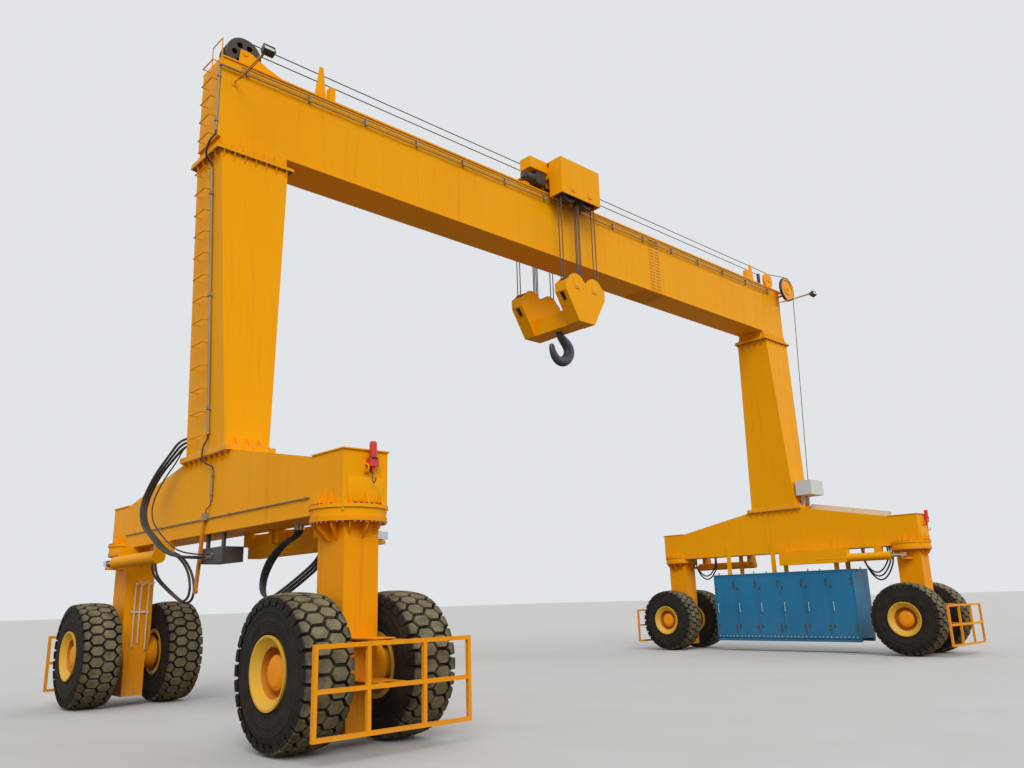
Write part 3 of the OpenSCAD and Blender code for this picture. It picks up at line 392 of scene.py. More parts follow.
def noise(tree, vector, scale, detail=4.0, rough=0.55):
    node = tree.nodes.new("ShaderNodeTexNoise")
    feed(tree, node.inputs["Vector"], vector)
    feed(tree, node.inputs["Scale"], scale)
    node.inputs["Detail"].default_value = detail
    node.inputs["Roughness"].default_value = rough
    return node.outputs["Fac"]


def ramp(tree, value, low, high, out_low=0.0, out_high=1.0):
    node = tree.nodes.new("ShaderNodeMapRange")
    feed(tree, node.inputs["Value"], value)
    for label, number in (("From Min", low), ("From Max", high), ("To Min", out_low), ("To Max", out_high)):
        feed(tree, node.inputs[label], number)
    return node.outputs["Result"]


def stretched(tree, vector, scale):
    node = tree.nodes.new("ShaderNodeMapping")
    feed(tree, node.inputs["Vector"], vector)
    node.inputs["Scale"].default_value = scale
    return node.outputs["Vector"]


def bumped(tree, shader, height, strength, distance):
    """Turns a height into fine relief on a finish."""
    relief = tree.nodes.new("ShaderNodeBump")
    relief.inputs["Strength"].default_value = strength
    relief.inputs["Distance"].default_value = distance
    tree.links.new(height, relief.inputs["Height"])
    tree.links.new(relief.outputs["Normal"], shader.inputs["Normal"])


print("node helpers ready")

# %% The weathering group
COLOUR = "NodeSocketColor"
NUMBER = "NodeSocketFloat"
weather_inputs = [("Paint", COLOUR, (0.8, 0.4, 0.02, 1)), ("Faded", COLOUR, (0.85, 0.5, 0.08, 1)),
                  ("Dust", COLOUR, (0.36, 0.29, 0.2, 1)), ("Grime", COLOUR, (0.16, 0.09, 0.03, 1)),
                  ("Worn", COLOUR, (0.32, 0.16, 0.05, 1)), ("Dust Line", NUMBER, 1.6),
                  ("Dust Amount", NUMBER, 0.5), ("Streaks", NUMBER, 0.3), ("Edge Wear", NUMBER, 0.35),
                  ("Base Roughness", NUMBER, 0.4)]
weather_outputs = [("Color", COLOUR), ("Roughness", NUMBER), ("Height", NUMBER)]
weather, g_in, g_out = new_group("site_weather", weather_inputs, weather_outputs)
coords = weather.nodes.new("ShaderNodeTexCoord").outputs["Object"]
facing = weather.nodes.new("ShaderNodeNewGeometry")
parts = weather.nodes.new("ShaderNodeSeparateXYZ")
weather.links.new(coords, parts.inputs[0])
normal = weather.nodes.new("ShaderNodeSeparateXYZ")
weather.links.new(facing.outputs["Normal"], normal.inputs[0])
broad = ramp(weather, noise(weather, coords, 0.55, 3.0), 0.3, 0.7)
colour = mix(weather, broad, g_in.outputs["Paint"], g_in.outputs["Faded"])
# rain streaks: noise drawn out along Z, only on upright faces
drawn = stretched(weather, coords, (5.0, 5.0, 0.22))
streak = ramp(weather, noise(weather, drawn, 1.7, 5.0, 0.65), 0.56, 0.74)
upright = ramp(weather, calc(weather, "ABSOLUTE", normal.outputs["Z"]), 0.25, 0.7, 1.0, 0.0)
streak = calc(weather, "MULTIPLY", calc(weather, "MULTIPLY", streak, upright), g_in.outputs["Streaks"])
colour = mix(weather, streak, colour, g_in.outputs["Grime"])
# small scuffs and specks
speck = ramp(weather, noise(weather, coords, 23.0, 5.0, 0.7), 0.66, 0.74)
colour = mix(weather, calc(weather, "MULTIPLY", speck, 0.35), colour, g_in.outputs["Grime"])
# dust low down and on faces that look up
low = ramp(weather, calc(weather, "SUBTRACT", g_in.outputs["Dust Line"], parts.outputs["Z"]), -0.6, 1.5)
cloud = ramp(weather, noise(weather, coords, 2.6, 6.0, 0.6), 0.3, 0.68)
upward = calc(weather, "MULTIPLY", ramp(weather, normal.outputs["Z"], 0.4, 0.95), 0.45)
dusty = calc(weather, "MULTIPLY", calc(weather, "MAXIMUM", low, upward), cloud)
dusty = calc(weather, "MULTIPLY", dusty, g_in.outputs["Dust Amount"], True)
colour = mix(weather, dusty, colour, g_in.outputs["Dust"])
# rubbed edges: where a rounded normal differs from the flat one
rounded = weather.nodes.new("ShaderNodeBevel")
rounded.samples = 4
rounded.inputs["Radius"].default_value = 0.014
turn = weather.nodes.new("ShaderNodeVectorMath")
turn.operation = "DOT_PRODUCT"
weather.links.new(rounded.outputs["Normal"], turn.inputs[0])
weather.links.new(facing.outputs["Normal"], turn.inputs[1])
edge = ramp(weather, turn.outputs["Value"], 0.995, 0.9)
patchy = ramp(weather, noise(weather, coords, 9.0, 4.0, 0.7), 0.42, 0.62)
edge = calc(weather, "MULTIPLY", calc(weather, "MULTIPLY", edge, patchy), g_in.outputs["Edge Wear"], True)
colour = mix(weather, edge, colour, g_in.outputs["Worn"])
rough = calc(weather, "ADD", g_in.outputs["Base Roughness"], calc(weather, "MULTIPLY", dusty, 0.45))
rough = calc(weather, "ADD", rough, calc(weather, "MULTIPLY", streak, 0.3), True)
peel = noise(weather, coords, 60.0, 3.0)
wave = noise(weather, coords, 1.3, 2.0)
height = calc(weather, "ADD", calc(weather, "MULTIPLY", peel, 0.15), wave)
weather.links.new(colour, g_out.inputs["Color"])
weather.links.new(rough, g_out.inputs["Roughness"])
weather.links.new(height, g_out.inputs["Height"])
print("weathering group", len(weather.nodes), "nodes")


# %% Painted finishes
PAINT_BUMP = 0.08
PAINT_DEPTH = 0.02


def weathered(tree, values):
    """The weathering group with its own values, inside one finish."""
    site = tree.nodes.new("ShaderNodeGroup")
    site.node_tree = weather
    for label, value in values.items():
        site.inputs[label].default_value = (*value, 1) if isinstance(value, tuple) else value
    return site


def painted(name, paint, faded, rough=0.38, dust=0.5, line=1.6, streaks=0.25, wear=0.35, metal=0.0,
            grime=(0.20, 0.10, 0.03), worn=(0.30, 0.15, 0.05), shine=0.5):
    finish, tree, shader = new_finish(name)
    values = {"Paint": paint, "Faded": faded, "Grime": grime, "Worn": worn, "Dust Line": line,
              "Dust Amount": dust, "Streaks": streaks, "Edge Wear": wear, "Base Roughness": rough}
    site = weathered(tree, values)
    tree.links.new(site.outputs["Color"], shader.inputs["Base Color"])
    tree.links.new(site.outputs["Roughness"], shader.inputs["Roughness"])
    bumped(tree, shader, site.outputs["Height"], PAINT_BUMP, PAINT_DEPTH)
    shader.inputs["Metallic"].default_value = metal
    shader.inputs["Specular IOR Level"].default_value = shine
    return finish


amber = painted("amber_paint", (0.86, 0.345, 0.001), (0.88, 0.375, 0.002), rough=0.45, dust=0.12,
                streaks=0.18, shine=0.06)
# the kingposts and guards under the beams get a darker, redder amber as painted shade; their extra dust and
# wear are real
amber_shade_low = painted("amber_paint_shade_low", (0.84, 0.29, 0.001), (0.86, 0.33, 0.002), rough=0.45, dust=0.3,
                    line=0.9, streaks=0.3, wear=0.6, shine=0.06)
rim_paint = painted("rim_paint", (0.74, 0.40, 0.012), (0.68, 0.40, 0.035), dust=0.4, line=1.2, streaks=0.1,
                    shine=0.25)
hub_paint = painted("hub_paint", (0.90, 0.285, 0.002), (0.88, 0.31, 0.004), dust=0.12, line=0.4, shine=0.25)
# the rim recess is the hub's orange made darker as painted shade in the deep recess; its dust is real
recess_shade_paint = painted("recess_shade_paint", (0.66, 0.22, 0.004), (0.56, 0.21, 0.01), dust=0.35, line=1.2,
                       shine=0.2)
cabinet = painted("cabinet_blue", (0.008, 0.155, 0.32), (0.016, 0.19, 0.37), rough=0.42, dust=0.2, line=0.7,
                  shine=0.3, grime=(0.03, 0.05, 0.06), worn=(0.2, 0.3, 0.36), wear=0.3)
pale_paint = painted("pale_paint", (0.62, 0.58, 0.42), (0.66, 0.62, 0.5), rough=0.5, dust=0.3)
box_grey = painted("box_grey", (0.56, 0.57, 0.55), (0.6, 0.6, 0.58), rough=0.45, dust=0.2)
signal_red = painted("signal_red", (0.62, 0.02, 0.02), (0.7, 0.06, 0.04), rough=0.3, dust=0.1, streaks=0.1)
oily_dark = painted("oily_dark", (0.045, 0.043, 0.042), (0.07, 0.065, 0.06), rough=0.45, dust=0.35,
                    streaks=0.1, grime=(0.02, 0.018, 0.015), worn=(0.2, 0.19, 0.18))
sheave_iron = painted("sheave_iron", (0.06, 0.05, 0.042), (0.11, 0.075, 0.05), rough=0.5, metal=0.5, dust=0.3,
                      grime=(0.02, 0.015, 0.01), worn=(0.3, 0.28, 0.26))
forged = painted("forged_hook", (0.045, 0.048, 0.055), (0.075, 0.08, 0.088), rough=0.42, metal=0.25, dust=0.2,
                 grime=(0.02, 0.02, 0.02), worn=(0.24, 0.24, 0.25), wear=0.5)
hard_chrome = painted("hard_chrome", (0.6, 0.6, 0.6), (0.66, 0.66, 0.66), rough=0.16, metal=1.0, dust=0.15,
                      grime=(0.2, 0.2, 0.2), worn=(0.7, 0.7, 0.7))
zinc = painted("zinc_fastener", (0.42, 0.40, 0.36), (0.5, 0.47, 0.42), rough=0.4, metal=0.7, dust=0.3)
hose_rubber = painted("hose_rubber", (0.018, 0.018, 0.019), (0.035, 0.034, 0.033), rough=0.55, dust=0.35,
                      wear=0.1, grime=(0.05, 0.045, 0.04), worn=(0.08, 0.08, 0.08))
khaki = painted("khaki_pipe", (0.26, 0.20, 0.10), (0.34, 0.28, 0.17), rough=0.5, metal=0.2, dust=0.3,
                grime=(0.10, 0.06, 0.03), worn=(0.3, 0.26, 0.2))
bar_orange = painted("bar_orange", (0.60, 0.17, 0.004), (0.62, 0.22, 0.01), dust=0.3, shine=0.2)


def two_paints(name, low, high, axis, edge, width, about=None):
    """One paint up to a place along an axis, or inside a radius about a line along Y, and another past it."""
    finish, tree, shader = new_finish(name)
    where = tree.nodes.new("ShaderNodeTexCoord").outputs["Object"]
    if about is None:
        parts = tree.nodes.new("ShaderNodeSeparateXYZ")
        tree.links.new(where, parts.inputs["Vector"])
        along = parts.outputs[axis]
    else:
        off = tree.nodes.new("ShaderNodeVectorMath")
        off.operation = "SUBTRACT"
        off.inputs[1].default_value = about
        tree.links.new(where, off.inputs[0])
        flat = tree.nodes.new("ShaderNodeVectorMath")
        flat.operation = "MULTIPLY"
        flat.inputs[1].default_value = (1, 0, 1)
        tree.links.new(off.outputs["Vector"], flat.inputs[0])
        far = tree.nodes.new("ShaderNodeVectorMath")
        far.operation = "LENGTH"
        tree.links.new(flat.outputs["Vector"], far.inputs[0])
        along = far.outputs["Value"]
    share = ramp(tree, along, edge - width, edge + width)
    sites = [weathered(tree,
                       {"Paint": paint, "Faded": faded, "Grime": grime, "Worn": (0.2, 0.15, 0.1),
                        "Dust Line": 1.6, "Dust Amount": 0.3, "Streaks": 0.2, "Edge Wear": 0.35,
                        "Base Roughness": 0.45}) for paint, faded, grime in (low, high)]
    colour = mix(tree, share, sites[0].outputs["Color"], sites[1].outputs["Color"])
    tree.links.new(colour, shader.inputs["Base Color"])
    tree.links.new(sites[0].outputs["Roughness"], shader.inputs["Roughness"])
    bumped(tree, shader, sites[0].outputs["Height"], PAINT_BUMP, PAINT_DEPTH)
    shader.inputs["Specular IOR Level"].default_value = 0.25
    return finish


YELLOW = ((0.86, 0.345, 0.001), (0.88, 0.375, 0.002), (0.20, 0.10, 0.03))
BLACK = ((0.045, 0.043, 0.042), (0.07, 0.065, 0.06), (0.02, 0.018, 0.015))
# a floodlight is black in front of its bracket, and the tail sheave's disc is yellow inside its rim
lamp_paint = two_paints("lamp_paint", BLACK, YELLOW, "Y", -1.56, 0.004)
tail_finish = two_paints("tail_sheave_paint", YELLOW, BLACK, None, 0.362, 0.004,
                         about=(9.630, -0.720, 11.393))
print("painted finishes", len(bpy.data.materials))

# %% [markdown]
# ## Wire rope
# A greased rope looks dark with fine light strands that run round it. The strands come from a wave
# texture on the rope's own coordinates, turned a little, which also feeds a bump.

# %% Wire rope finish
rope_finish, tree, shader = new_finish("greased_rope")
where = tree.nodes.new("ShaderNodeTexCoord").outputs["Object"]
strands = tree.nodes.new("ShaderNodeTexWave")
strands.bands_direction = "DIAGONAL"
strands.inputs["Scale"].default_value = 22
strands.inputs["Distortion"].default_value = 0.4
tree.links.new(where, strands.inputs["Vector"])
tree.links.new(mix(tree, strands.outputs["Fac"], (0.03, 0.026, 0.022, 1), (0.16, 0.14, 0.12, 1)),
               shader.inputs["Base Color"])
tree.links.new(ramp(tree, strands.outputs["Fac"], 0, 1, 0.35, 0.6), shader.inputs["Roughness"])
bumped(tree, shader, strands.outputs["Fac"], 0.5, 0.004)
shader.inputs["Metallic"].default_value = 0.5
print("rope finish ready")

# %% [markdown]
# ## Finishes on the solids
# Each solid keeps its shape and only gets its finish.

# %% Give the solids their finishes
def finish_of(name):
    if name.startswith("kingpost") or name.startswith("guard"):
        # kingposts and guards take the amber with painted shade
        return amber_shade_low
    if name.startswith("rim"):
        return rim_paint
    if name.startswith("steer_rod"):
        return hard_chrome
    table = {"haul_ropes": rope_finish, "hoist_ropes": rope_finish, "hoses": hose_rubber, "conduits": khaki,
             "floodlights": lamp_paint, "power_pack": cabinet, "hanging_bar": bar_orange,
             "cable_tray": pale_paint, "control_box": box_grey, "beacons": signal_red,
             "valve_block": oily_dark, "head_sheave": sheave_iron, "tail_sheave": tail_finish,
             "trolley_sheaves": sheave_iron, "trolley_drive": oily_dark, "block_sheaves": sheave_iron,
             "hook": forged}
    return table.get(name, amber)


for name, solid in nodes.items():
    solid.data.materials.clear()
    solid.data.materials.append(finish_of(name))
print("finished solids", len(nodes))

# %% [markdown]
# ## Tyres
# An earthmover tyre has staggered, thick tread blocks that wrap over the shoulder, and a plain sidewall
# with a few raised rings. The carcass is a profile that is spun round the axle. Two blocks are modelled
# flat, one for the crown and one for the shoulder, and copies are laid round the carcass by turning
# their length into an angle.

# %% Tread blocks, modelled flat
TREAD_R = 0.935
GROOVE_R = 0.884
ROOT = 0.012
PITCHES = 30
HEX = [(-0.122, 0.0), (-0.070, -0.083), (0.070, -0.083), (0.122, 0.0), (0.070, 0.083), (-0.070, 0.083)]
EDGE = [(-0.052, 0.0), (-0.002, -0.085), (0.066, -0.080), (0.066, 0.080), (-0.002, 0.085)]


def tread_block(outline):
    """A flat block: its outline is extruded, the top drawn in a little and its edges rounded."""
    piece = drawn_piece("block", [(x, y, -ROOT) for x, y in outline], faces=[tuple(range(len(outline)))])
    with editing():
        bpy.ops.mesh.subdivide(number_cuts=2)
        bpy.ops.mesh.extrude_region_move(TRANSFORM_OT_translate={"value": (0, 0, TREAD_R - GROOVE_R + ROOT)})
        bpy.ops.transform.resize(value=(0.90, 0.88, 1))
        bpy.ops.mesh.select_all(action="DESELECT")
        edit = bmesh.from_edit_mesh(piece.data)
        for e in edit.edges:
            top = all(v.co.z > TREAD_R - GROOVE_R - 0.002 for v in e.verts)
            e.select = top and any(f.normal.z < 0.5 for f in e.link_faces)
        bmesh.update_edit_mesh(piece.data)
        bpy.ops.mesh.bevel(offset=0.012, segments=3, affect="EDGES")
    return piece


def shoulder_block():
    piece = tread_block(EDGE)
    with editing("DESELECT"):
        pick_faces(piece, lambda face: face.normal.x > 0.7 and face.calc_center_median().x > 0.05)
        # the block runs over the shoulder and a little down the side
        bpy.ops.mesh.extrude_region_move(TRANSFORM_OT_translate={"value": (0.013, 0, -0.022)})
        bpy.ops.transform.resize(value=(1, 0.96, 0.8))
        bpy.ops.mesh.extrude_region_move(TRANSFORM_OT_translate={"value": (0.004, 0, -0.046)})
        bpy.ops.transform.resize(value=(1, 0.92, 0.6))
    return piece


crown, shoulder = tread_block(HEX), shoulder_block()
print("blocks", len(crown.data.polygons), len(shoulder.data.polygons), "faces")

# %% Carcass and the finished tyre
CROWN_X = 0.106
SHOULDER_X = 0.252
CROWN_HALF = 0.3
CROWN_DROP = 0.030
CARCASS = [(0.430, 0.296), (0.447, 0.312), (0.466, 0.320), (0.476, 0.327), (0.484, 0.327), (0.492, 0.321),
           (0.53, 0.324), (0.56, 0.327), (0.566, 0.330), (0.572, 0.330), (0.578, 0.327), (0.60, 0.329),
           (0.606, 0.331), (0.612, 0.331), (0.618, 0.328), (0.66, 0.329), (0.70, 0.328), (0.706, 0.332),
           (0.716, 0.332), (0.722, 0.327), (0.77, 0.320), (0.81, 0.308), (0.835, 0.293), (0.852, 0.268),
           (0.866, 0.22), (0.880, 0.12), (0.885, 0.0)]


def carcass():
    return lathe(CARCASS + [(r, -x) for r, x in reversed(CARCASS[:-1])], steps=90, threshold=0.0005)


def lay_round(source, x, angle, flip):
    """A copy of a flat block wrapped onto the tread at one angle."""
    mesh = source.data.copy()
    for v in mesh.vertices:
        across = x + v.co.x
        # the crown is rounded, so blocks sit lower towards the side
        r = GROOVE_R + v.co.z - CROWN_DROP * (abs(across) / CROWN_HALF) ** 2.2
        a = angle + v.co.y / TREAD_R
        v.co = (flip * across, r * sin(a), r * cos(a))
    if flip < 0:
        mesh.flip_normals()
    return mesh


def tyre_mesh():
    gathered = bmesh.new()
    base = carcass()
    gathered.from_mesh(base.data)
    throw_away(base)
    step = 2 * pi / PITCHES
    for i in range(PITCHES):
        rows = [(crown, CROWN_X, i * step, 1), (crown, CROWN_X, (i + 0.5) * step, -1),
                (shoulder, SHOULDER_X, (i + 0.5) * step, 1), (shoulder, SHOULDER_X, i * step, -1)]
        for source, x, angle, flip in rows:
            mesh = lay_round(source, x, angle, flip)
            gathered.from_mesh(mesh)
            bpy.data.meshes.remove(mesh)
    mesh = bpy.data.meshes.new("tyre")
    gathered.to_mesh(mesh)
    gathered.free()
    # 0 down in a groove, 1 on top of a block
    worn = mesh.attributes.new("tread", "FLOAT", "POINT")
    for i, v in enumerate(mesh.vertices):
        r = math.hypot(v.co.y, v.co.z)
        worn.data[i].value = min(1.0, max(0.0, (r - 0.845) / 0.085))
    return mesh


tyre_pattern = tyre_mesh()
print("one tyre", len(tyre_pattern.polygons), "faces")

# %% [markdown]
# ## Tyre rubber
# Dry mud has coloured the block tops tan, the grooves are darker, and the sidewall is brown black with
# a dusty bloom. The "tread" value on each point says how near it is to the top of a block.

# %% Tyre finish
rubber, tree, shader = new_finish("dusty_rubber")
where = tree.nodes.new("ShaderNodeTexCoord").outputs["Object"]
tread = tree.nodes.new("ShaderNodeAttribute")
tread.attribute_name = "tread"
mud = noise(tree, where, 5.5, 7.0, 0.65)
fine = noise(tree, where, 40.0, 4.0, 0.7)
wall = mix(tree, ramp(tree, mud, 0.35, 0.7), (0.012, 0.010, 0.009, 1), (0.036, 0.029, 0.022, 1))
top = mix(tree, ramp(tree, mud, 0.3, 0.65), (0.095, 0.080, 0.045, 1), (0.22, 0.188, 0.105, 1))
top = mix(tree, calc(tree, "MULTIPLY", ramp(tree, fine, 0.5, 0.7), 0.5), top, (0.075, 0.06, 0.045, 1))
uneven = calc(tree, "MULTIPLY", calc(tree, "SUBTRACT", mud, 0.5), 0.7)
share = ramp(tree, calc(tree, "ADD", tread.outputs["Fac"], uneven), 0.35, 0.95)
tree.links.new(mix(tree, share, wall, top), shader.inputs["Base Color"])
shader.inputs["Specular IOR Level"].default_value = 0.2
tree.links.new(ramp(tree, mud, 0.3, 0.7, 0.62, 0.95), shader.inputs["Roughness"])
bumped(tree, shader, fine, 0.35, 0.01)
print("rubber ready")

# %% Fit the tyres
for key, cx, cy, side in WHEELS:
    mesh = tyre_pattern.copy()
    # each tyre has stopped at a turn of its own
    spin = Matrix.Rotation(radians(11 * (len(key) + ord(key[0]) + 3 * ord(key[2]))), 4, "X")
    mesh.transform(at(cx, cy, AXLE) @ spin)
    piece = into_scene("tread_tyre_" + key, mesh)
    dress(piece, "tread_tyre_" + key, "wheel_" + key, rubber, angle=30, merge=False)
    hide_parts("tyre_" + key)
throw_away(crown, shoulder)
print("tyres fitted")

# %% [markdown]
# ## One bolt
# A hexagon bolt with its washer is modelled once. Copies of it then stand on every bolted joint. A place
# is a point on the surface and the direction in which the head points.

# %% One bolt
def pin_up(point, normal, size=1.0, turn=0.0):
    spin = Vector(normal).to_track_quat("Z", "Y").to_matrix().to_4x4()
    return at(*point) @ spin @ Matrix.Rotation(turn, 4, "Z") @ Matrix.Scale(size, 4)


def bolt_shape():
    washer = drum((0, 0, -0.002), (0, 0, 0.004), 0.0215, 14)
    head = drum((0, 0, 0.003), (0, 0, 0.017), 0.0165, 6)
    with editing("DESELECT"):
        pick_faces(head, lambda face: face.normal.z > 0.5)
        bpy.ops.mesh.inset(thickness=0.003, depth=0.0015)
    return weld("bolt", [head, washer])


bolt = bolt_shape()
print("bolt", len(bolt.data.polygons), "faces")


def bolts(name, body, places, finish=zinc):
    piece = stamp(name, bolt, places)
    return dress(piece, name, body, finish, angle=30, merge=False)


# %% [markdown]
# ## Wheels
# Three turned faces lie on each rim: a domed cap on the hub, the deep recess round it and the outer lip.
# A circle of nuts and a valve finish the wheel.

# %% Wheel faces, nuts and valves
NUTS = 20
NUT_CIRCLE = 0.252
NUT_SEAT = 0.1015
hub_cap = lathe([(0.2065, 0.095), (0.2075, 0.100), (0.2075, 0.210), (0.203, 0.2185), (0.158, 0.2475),
                 (0.150, 0.2515), (0.120, 0.2555), (0.0002, 0.2575)])
recess = lathe([(0.2990, 0.2550), (0.2985, 0.2450), (0.2985, 0.1180), (0.2900, 0.1040), (0.2800, 0.1015),
                (0.2070, 0.1015)])
lip = lathe([(0.4100, 0.3455), (0.4060, 0.3420), (0.3060, 0.2615), (0.3000, 0.2580), (0.2990, 0.2545)])
for key, cx, cy, side in WHEELS:
    seat = at(cx, cy, AXLE) @ Matrix.Rotation(0 if side > 0 else pi, 4, "Z")
    # the recess takes the hub's orange with painted shade
    for part, source, finish in (("hub_cap_", hub_cap, hub_paint), ("rim_recess_", recess, recess_shade_paint),
                                 ("rim_lip_", lip, rim_paint)):
        dress(stamp(part, source, [seat]), part + key, "wheel_" + key, finish, angle=25, merge=False)
    spots = []
    for i in range(NUTS):
        a = 2 * pi * i / NUTS + 0.1
        place = (cx + side * NUT_SEAT, cy + NUT_CIRCLE * cos(a), AXLE + NUT_CIRCLE * sin(a))
        spots.append(pin_up(place, (side, 0, 0), 1.0, a))
    # the nuts in the recess take the same painted shade
    bolts("wheel_nuts_" + key, "wheel_" + key, spots, recess_shade_paint)
    a = 1.1
    # the valve's stem, then its cap: each from one (offset, radius) to another
    stem, cap = [[(cx + side * x, cy + r * cos(a), AXLE + r * sin(a)) for x, r in run]
                 for run in (((0.215, 0.296), (0.262, 0.272)), ((0.258, 0.274), (0.280, 0.262)))]
    valve = [drum(*stem, 0.007, 10), drum(*cap, 0.010, 10)]
    dress(weld("valve", valve), "valve_" + key, "wheel_" + key, oily_dark)
throw_away(hub_cap, recess, lip)
print("wheels dressed")

# %% [markdown]
# ## Bolted joints of the frame
# Bolts stand round each slewing ring, on the foot and head flanges of the legs, and on the girder's
# splice. Where a rib or the beam covers a place on a ring, its bolt is left out.

# %% Slewing ring bolts
RING_BOLTS = 40
BOLTS_ABOVE = 0.497
BOLTS_BELOW = 0.485
RING_FOOT = 2.740
RIB_ROOM = 0.034
rusty_stud = painted("rusty_stud", (0.13, 0.055, 0.022), (0.19, 0.085, 0.03), rough=0.6, metal=0.3, dust=0.2,
                     shine=0.3)
for corner, (s, e) in CORNERS.items():
    cx, cy = s * SIDE, e * POST
    crank = 1 if s * e > 0 else -1
    above_spots, below_spots = [], []
    for i in range(RING_BOLTS):
        a = 2 * pi * (i + 0.5) / RING_BOLTS
        x, y = BOLTS_ABOVE * cos(a), BOLTS_ABOVE * sin(a)
        under_beam = abs(x) < 0.375 and e * y < 0.425
        near_side_rib = any(abs(y - o) < RIB_ROOM for o in (-0.33, -0.165, 0, 0.165, 0.33))
        near_end_rib = any(abs(x - o) < RIB_ROOM for o in (-0.24, 0, 0.24))
        side_rib = abs(x) > 0.34 and near_side_rib and e * y < 0.40
        end_rib = e * y > 0.38 and near_end_rib
        if not (under_beam or side_rib or end_rib):
            above_spots.append(pin_up((cx + x, cy + y, RING_TOP), (0, 0, 1), 1.0, a))
        ribs = [radians(d + (0 if crank > 0 else 180)) for d in range(60, 301, 30)]
        if all(abs((a - r + pi) % (2 * pi) - pi) > 0.075 for r in ribs):
            place = (cx + BOLTS_BELOW * cos(a), cy + BOLTS_BELOW * sin(a), RING_FOOT)
            below_spots.append(pin_up(place, (0, 0, -1), 1.0, a))
    bolts("ring_bolts_top_" + corner, "frame", above_spots, rusty_stud)
    bolts("ring_bolts_low_" + corner, "kingpost_" + corner, below_spots)
print("ring bolts", len(above_spots), len(below_spots))

# %% Leg flange bolts and splice bolts
HEAD_BELOW = 9.500
HEAD_ABOVE = 9.580
foot, head = [], []
odd = [(-17 + 2 * i) * 0.05 for i in range(18)]
end_row = (-0.34, -0.26, -0.14, -0.06, 0.06, 0.14, 0.26, 0.34)
side_row = (-0.52, -0.44, -0.28, -0.20, -0.04, 0.04, 0.20, 0.28, 0.44, 0.52)
for s in (-1, 1):
    cx = s * SIDE
    for q in (-1, 1):
        foot += [pin_up((cx + q * 0.4075, y, FOOT_Z + 0.040), (0, 0, 1), 1.0, y) for y in odd]
        foot += [pin_up((cx + q * 0.4035, y, FOOT_Z - 0.041), (0, 0, -1), 1.0, y) for y in odd]
        foot += [pin_up((cx + x, q * 0.862, FOOT_Z + 0.040), (0, 0, 1), 1.0, x) for x in end_row]
        head += [pin_up((cx + x, q * 0.536, HEAD_BELOW), (0, 0, -1), 1.15, x) for x in odd[2:-2]]
        head += [pin_up((cx + x, q * 0.484, HEAD_ABOVE), (0, 0, 1), 1.15, x) for x in odd[2:-2]]
        for y in side_row:
            head.append(pin_up((cx + q * 0.698, y, HEAD_BELOW), (0, 0, -1), 1.15, y))
            if abs(y) < 0.5:
                head.append(pin_up((cx + q * 0.698, y, HEAD_ABOVE), (0, 0, 1), 1.15, y))
bolts("leg_foot_bolts", "frame", foot)
bolts("leg_top_bolts", "frame", head, oily_dark)
SPLICE_X = 2.9
splice = []
for i in range(16):
    z = 9.905 + i * 0.0935
    for x in (-0.185, -0.12, -0.055, 0.055, 0.12, 0.185):
        splice += [pin_up((SPLICE_X + x, q * 0.4135, z), (0, q, 0), 0.95, z) for q in (-1, 1)]
for x in (-0.38, -0.30, -0.22, -0.14, -0.06, 0.06, 0.14, 0.22, 0.30, 0.38):
    splice += [pin_up((SPLICE_X + x, y * 0.08, 9.774), (0, 0, -1), 0.95, x) for y in range(-4, 5)]
bolt_paint = painted("bolt_paint", (0.55, 0.27, 0.015), (0.5, 0.27, 0.03), wear=0.7)
bolts("splice_bolts", "frame", splice, bolt_paint)
print("bolts on the frame", len(foot) + len(head) + len(splice))

# %% [markdown]
# ## Tubes, hoses and cables
# A tube is a curve through a few chosen points, given a round section and turned into a mesh. A hose
# runs straight at both ends and in parabolas between, as the solid it stands in for does. Its ends get a
# crimped sleeve and a hexagon fitting.

# %% Tube helper
def tube(points, radius, sides=3, smooth=6):
    pts = [Vector(p) for p in points]
    line = []
    for i in range(len(pts) - 1):
        a, b, c, d = pts[max(i - 1, 0)], pts[i], pts[i + 1], pts[min(i + 2, len(pts) - 1)]
        for k in range(smooth):
            t = k / smooth
            cubic = (3 * b - a - 3 * c + d) * t ** 3
            line.append(0.5 * (2 * b + (c - a) * t + (2 * a - 5 * b + 4 * c - d) * t * t + cubic))
    line.append(pts[-1])
    curve = bpy.data.curves.new("tube", "CURVE")
    curve.dimensions = "3D"
    curve.bevel_depth = radius
    curve.bevel_resolution = sides
    curve.use_fill_caps = True
    spline = curve.splines.new("POLY")
    spline.points.add(len(line) - 1)
    for point, co in zip(spline.points, line):
        point.co = (*co, 1)
    take(into_scene("tube", curve))
    bpy.ops.object.convert(target="MESH")
    return bpy.context.object


def fitting(point, towards, radius):
    a = Vector(point)
    way = (Vector(towards) - a).normalized()
    sleeve = drum(a, a + way * radius * 4.0, radius * 1.28, 14)
    return [sleeve, drum(a - way * 0.004, a + way * radius * 1.1, radius * 1.55, 6)]


# %% Hoses
def bent(points, steps=6):
    """Rounds a row of points: straight at both ends and tangent to the middle of each stretch."""
    p = [Vector(q) for q in points]
    line = [p[0]]
    for i in range(1, len(p) - 1):
        a, b, c = (p[i - 1] + p[i]) / 2, p[i], (p[i] + p[i + 1]) / 2
        for k in range(steps + (1 if i == len(p) - 2 else 0)):
            u = k / steps
            line.append(a * (1 - u) ** 2 + b * 2 * u * (1 - u) + c * u * u)
    return line + [p[-1]]


HOSE_R = 0.0215
THIN_R = 0.0125
GAP = 0.056
runs, ends = [], []


def hose(points, radius, caps=True):
    runs.append(tube(bent(points), radius, smooth=1))
    if caps:
        ends.extend(fitting(points[0], points[1], radius) + fitting(points[-1], points[-2], radius))


def from_leg(x, z):
    """The start of a hose on the leg's rear face, which leans inwards."""
    y = 0.7465 - (z - FOOT_Z) * 0.243 / 5.32
    return [(x, y + 0.001, z), (x, y + 0.080, z)]


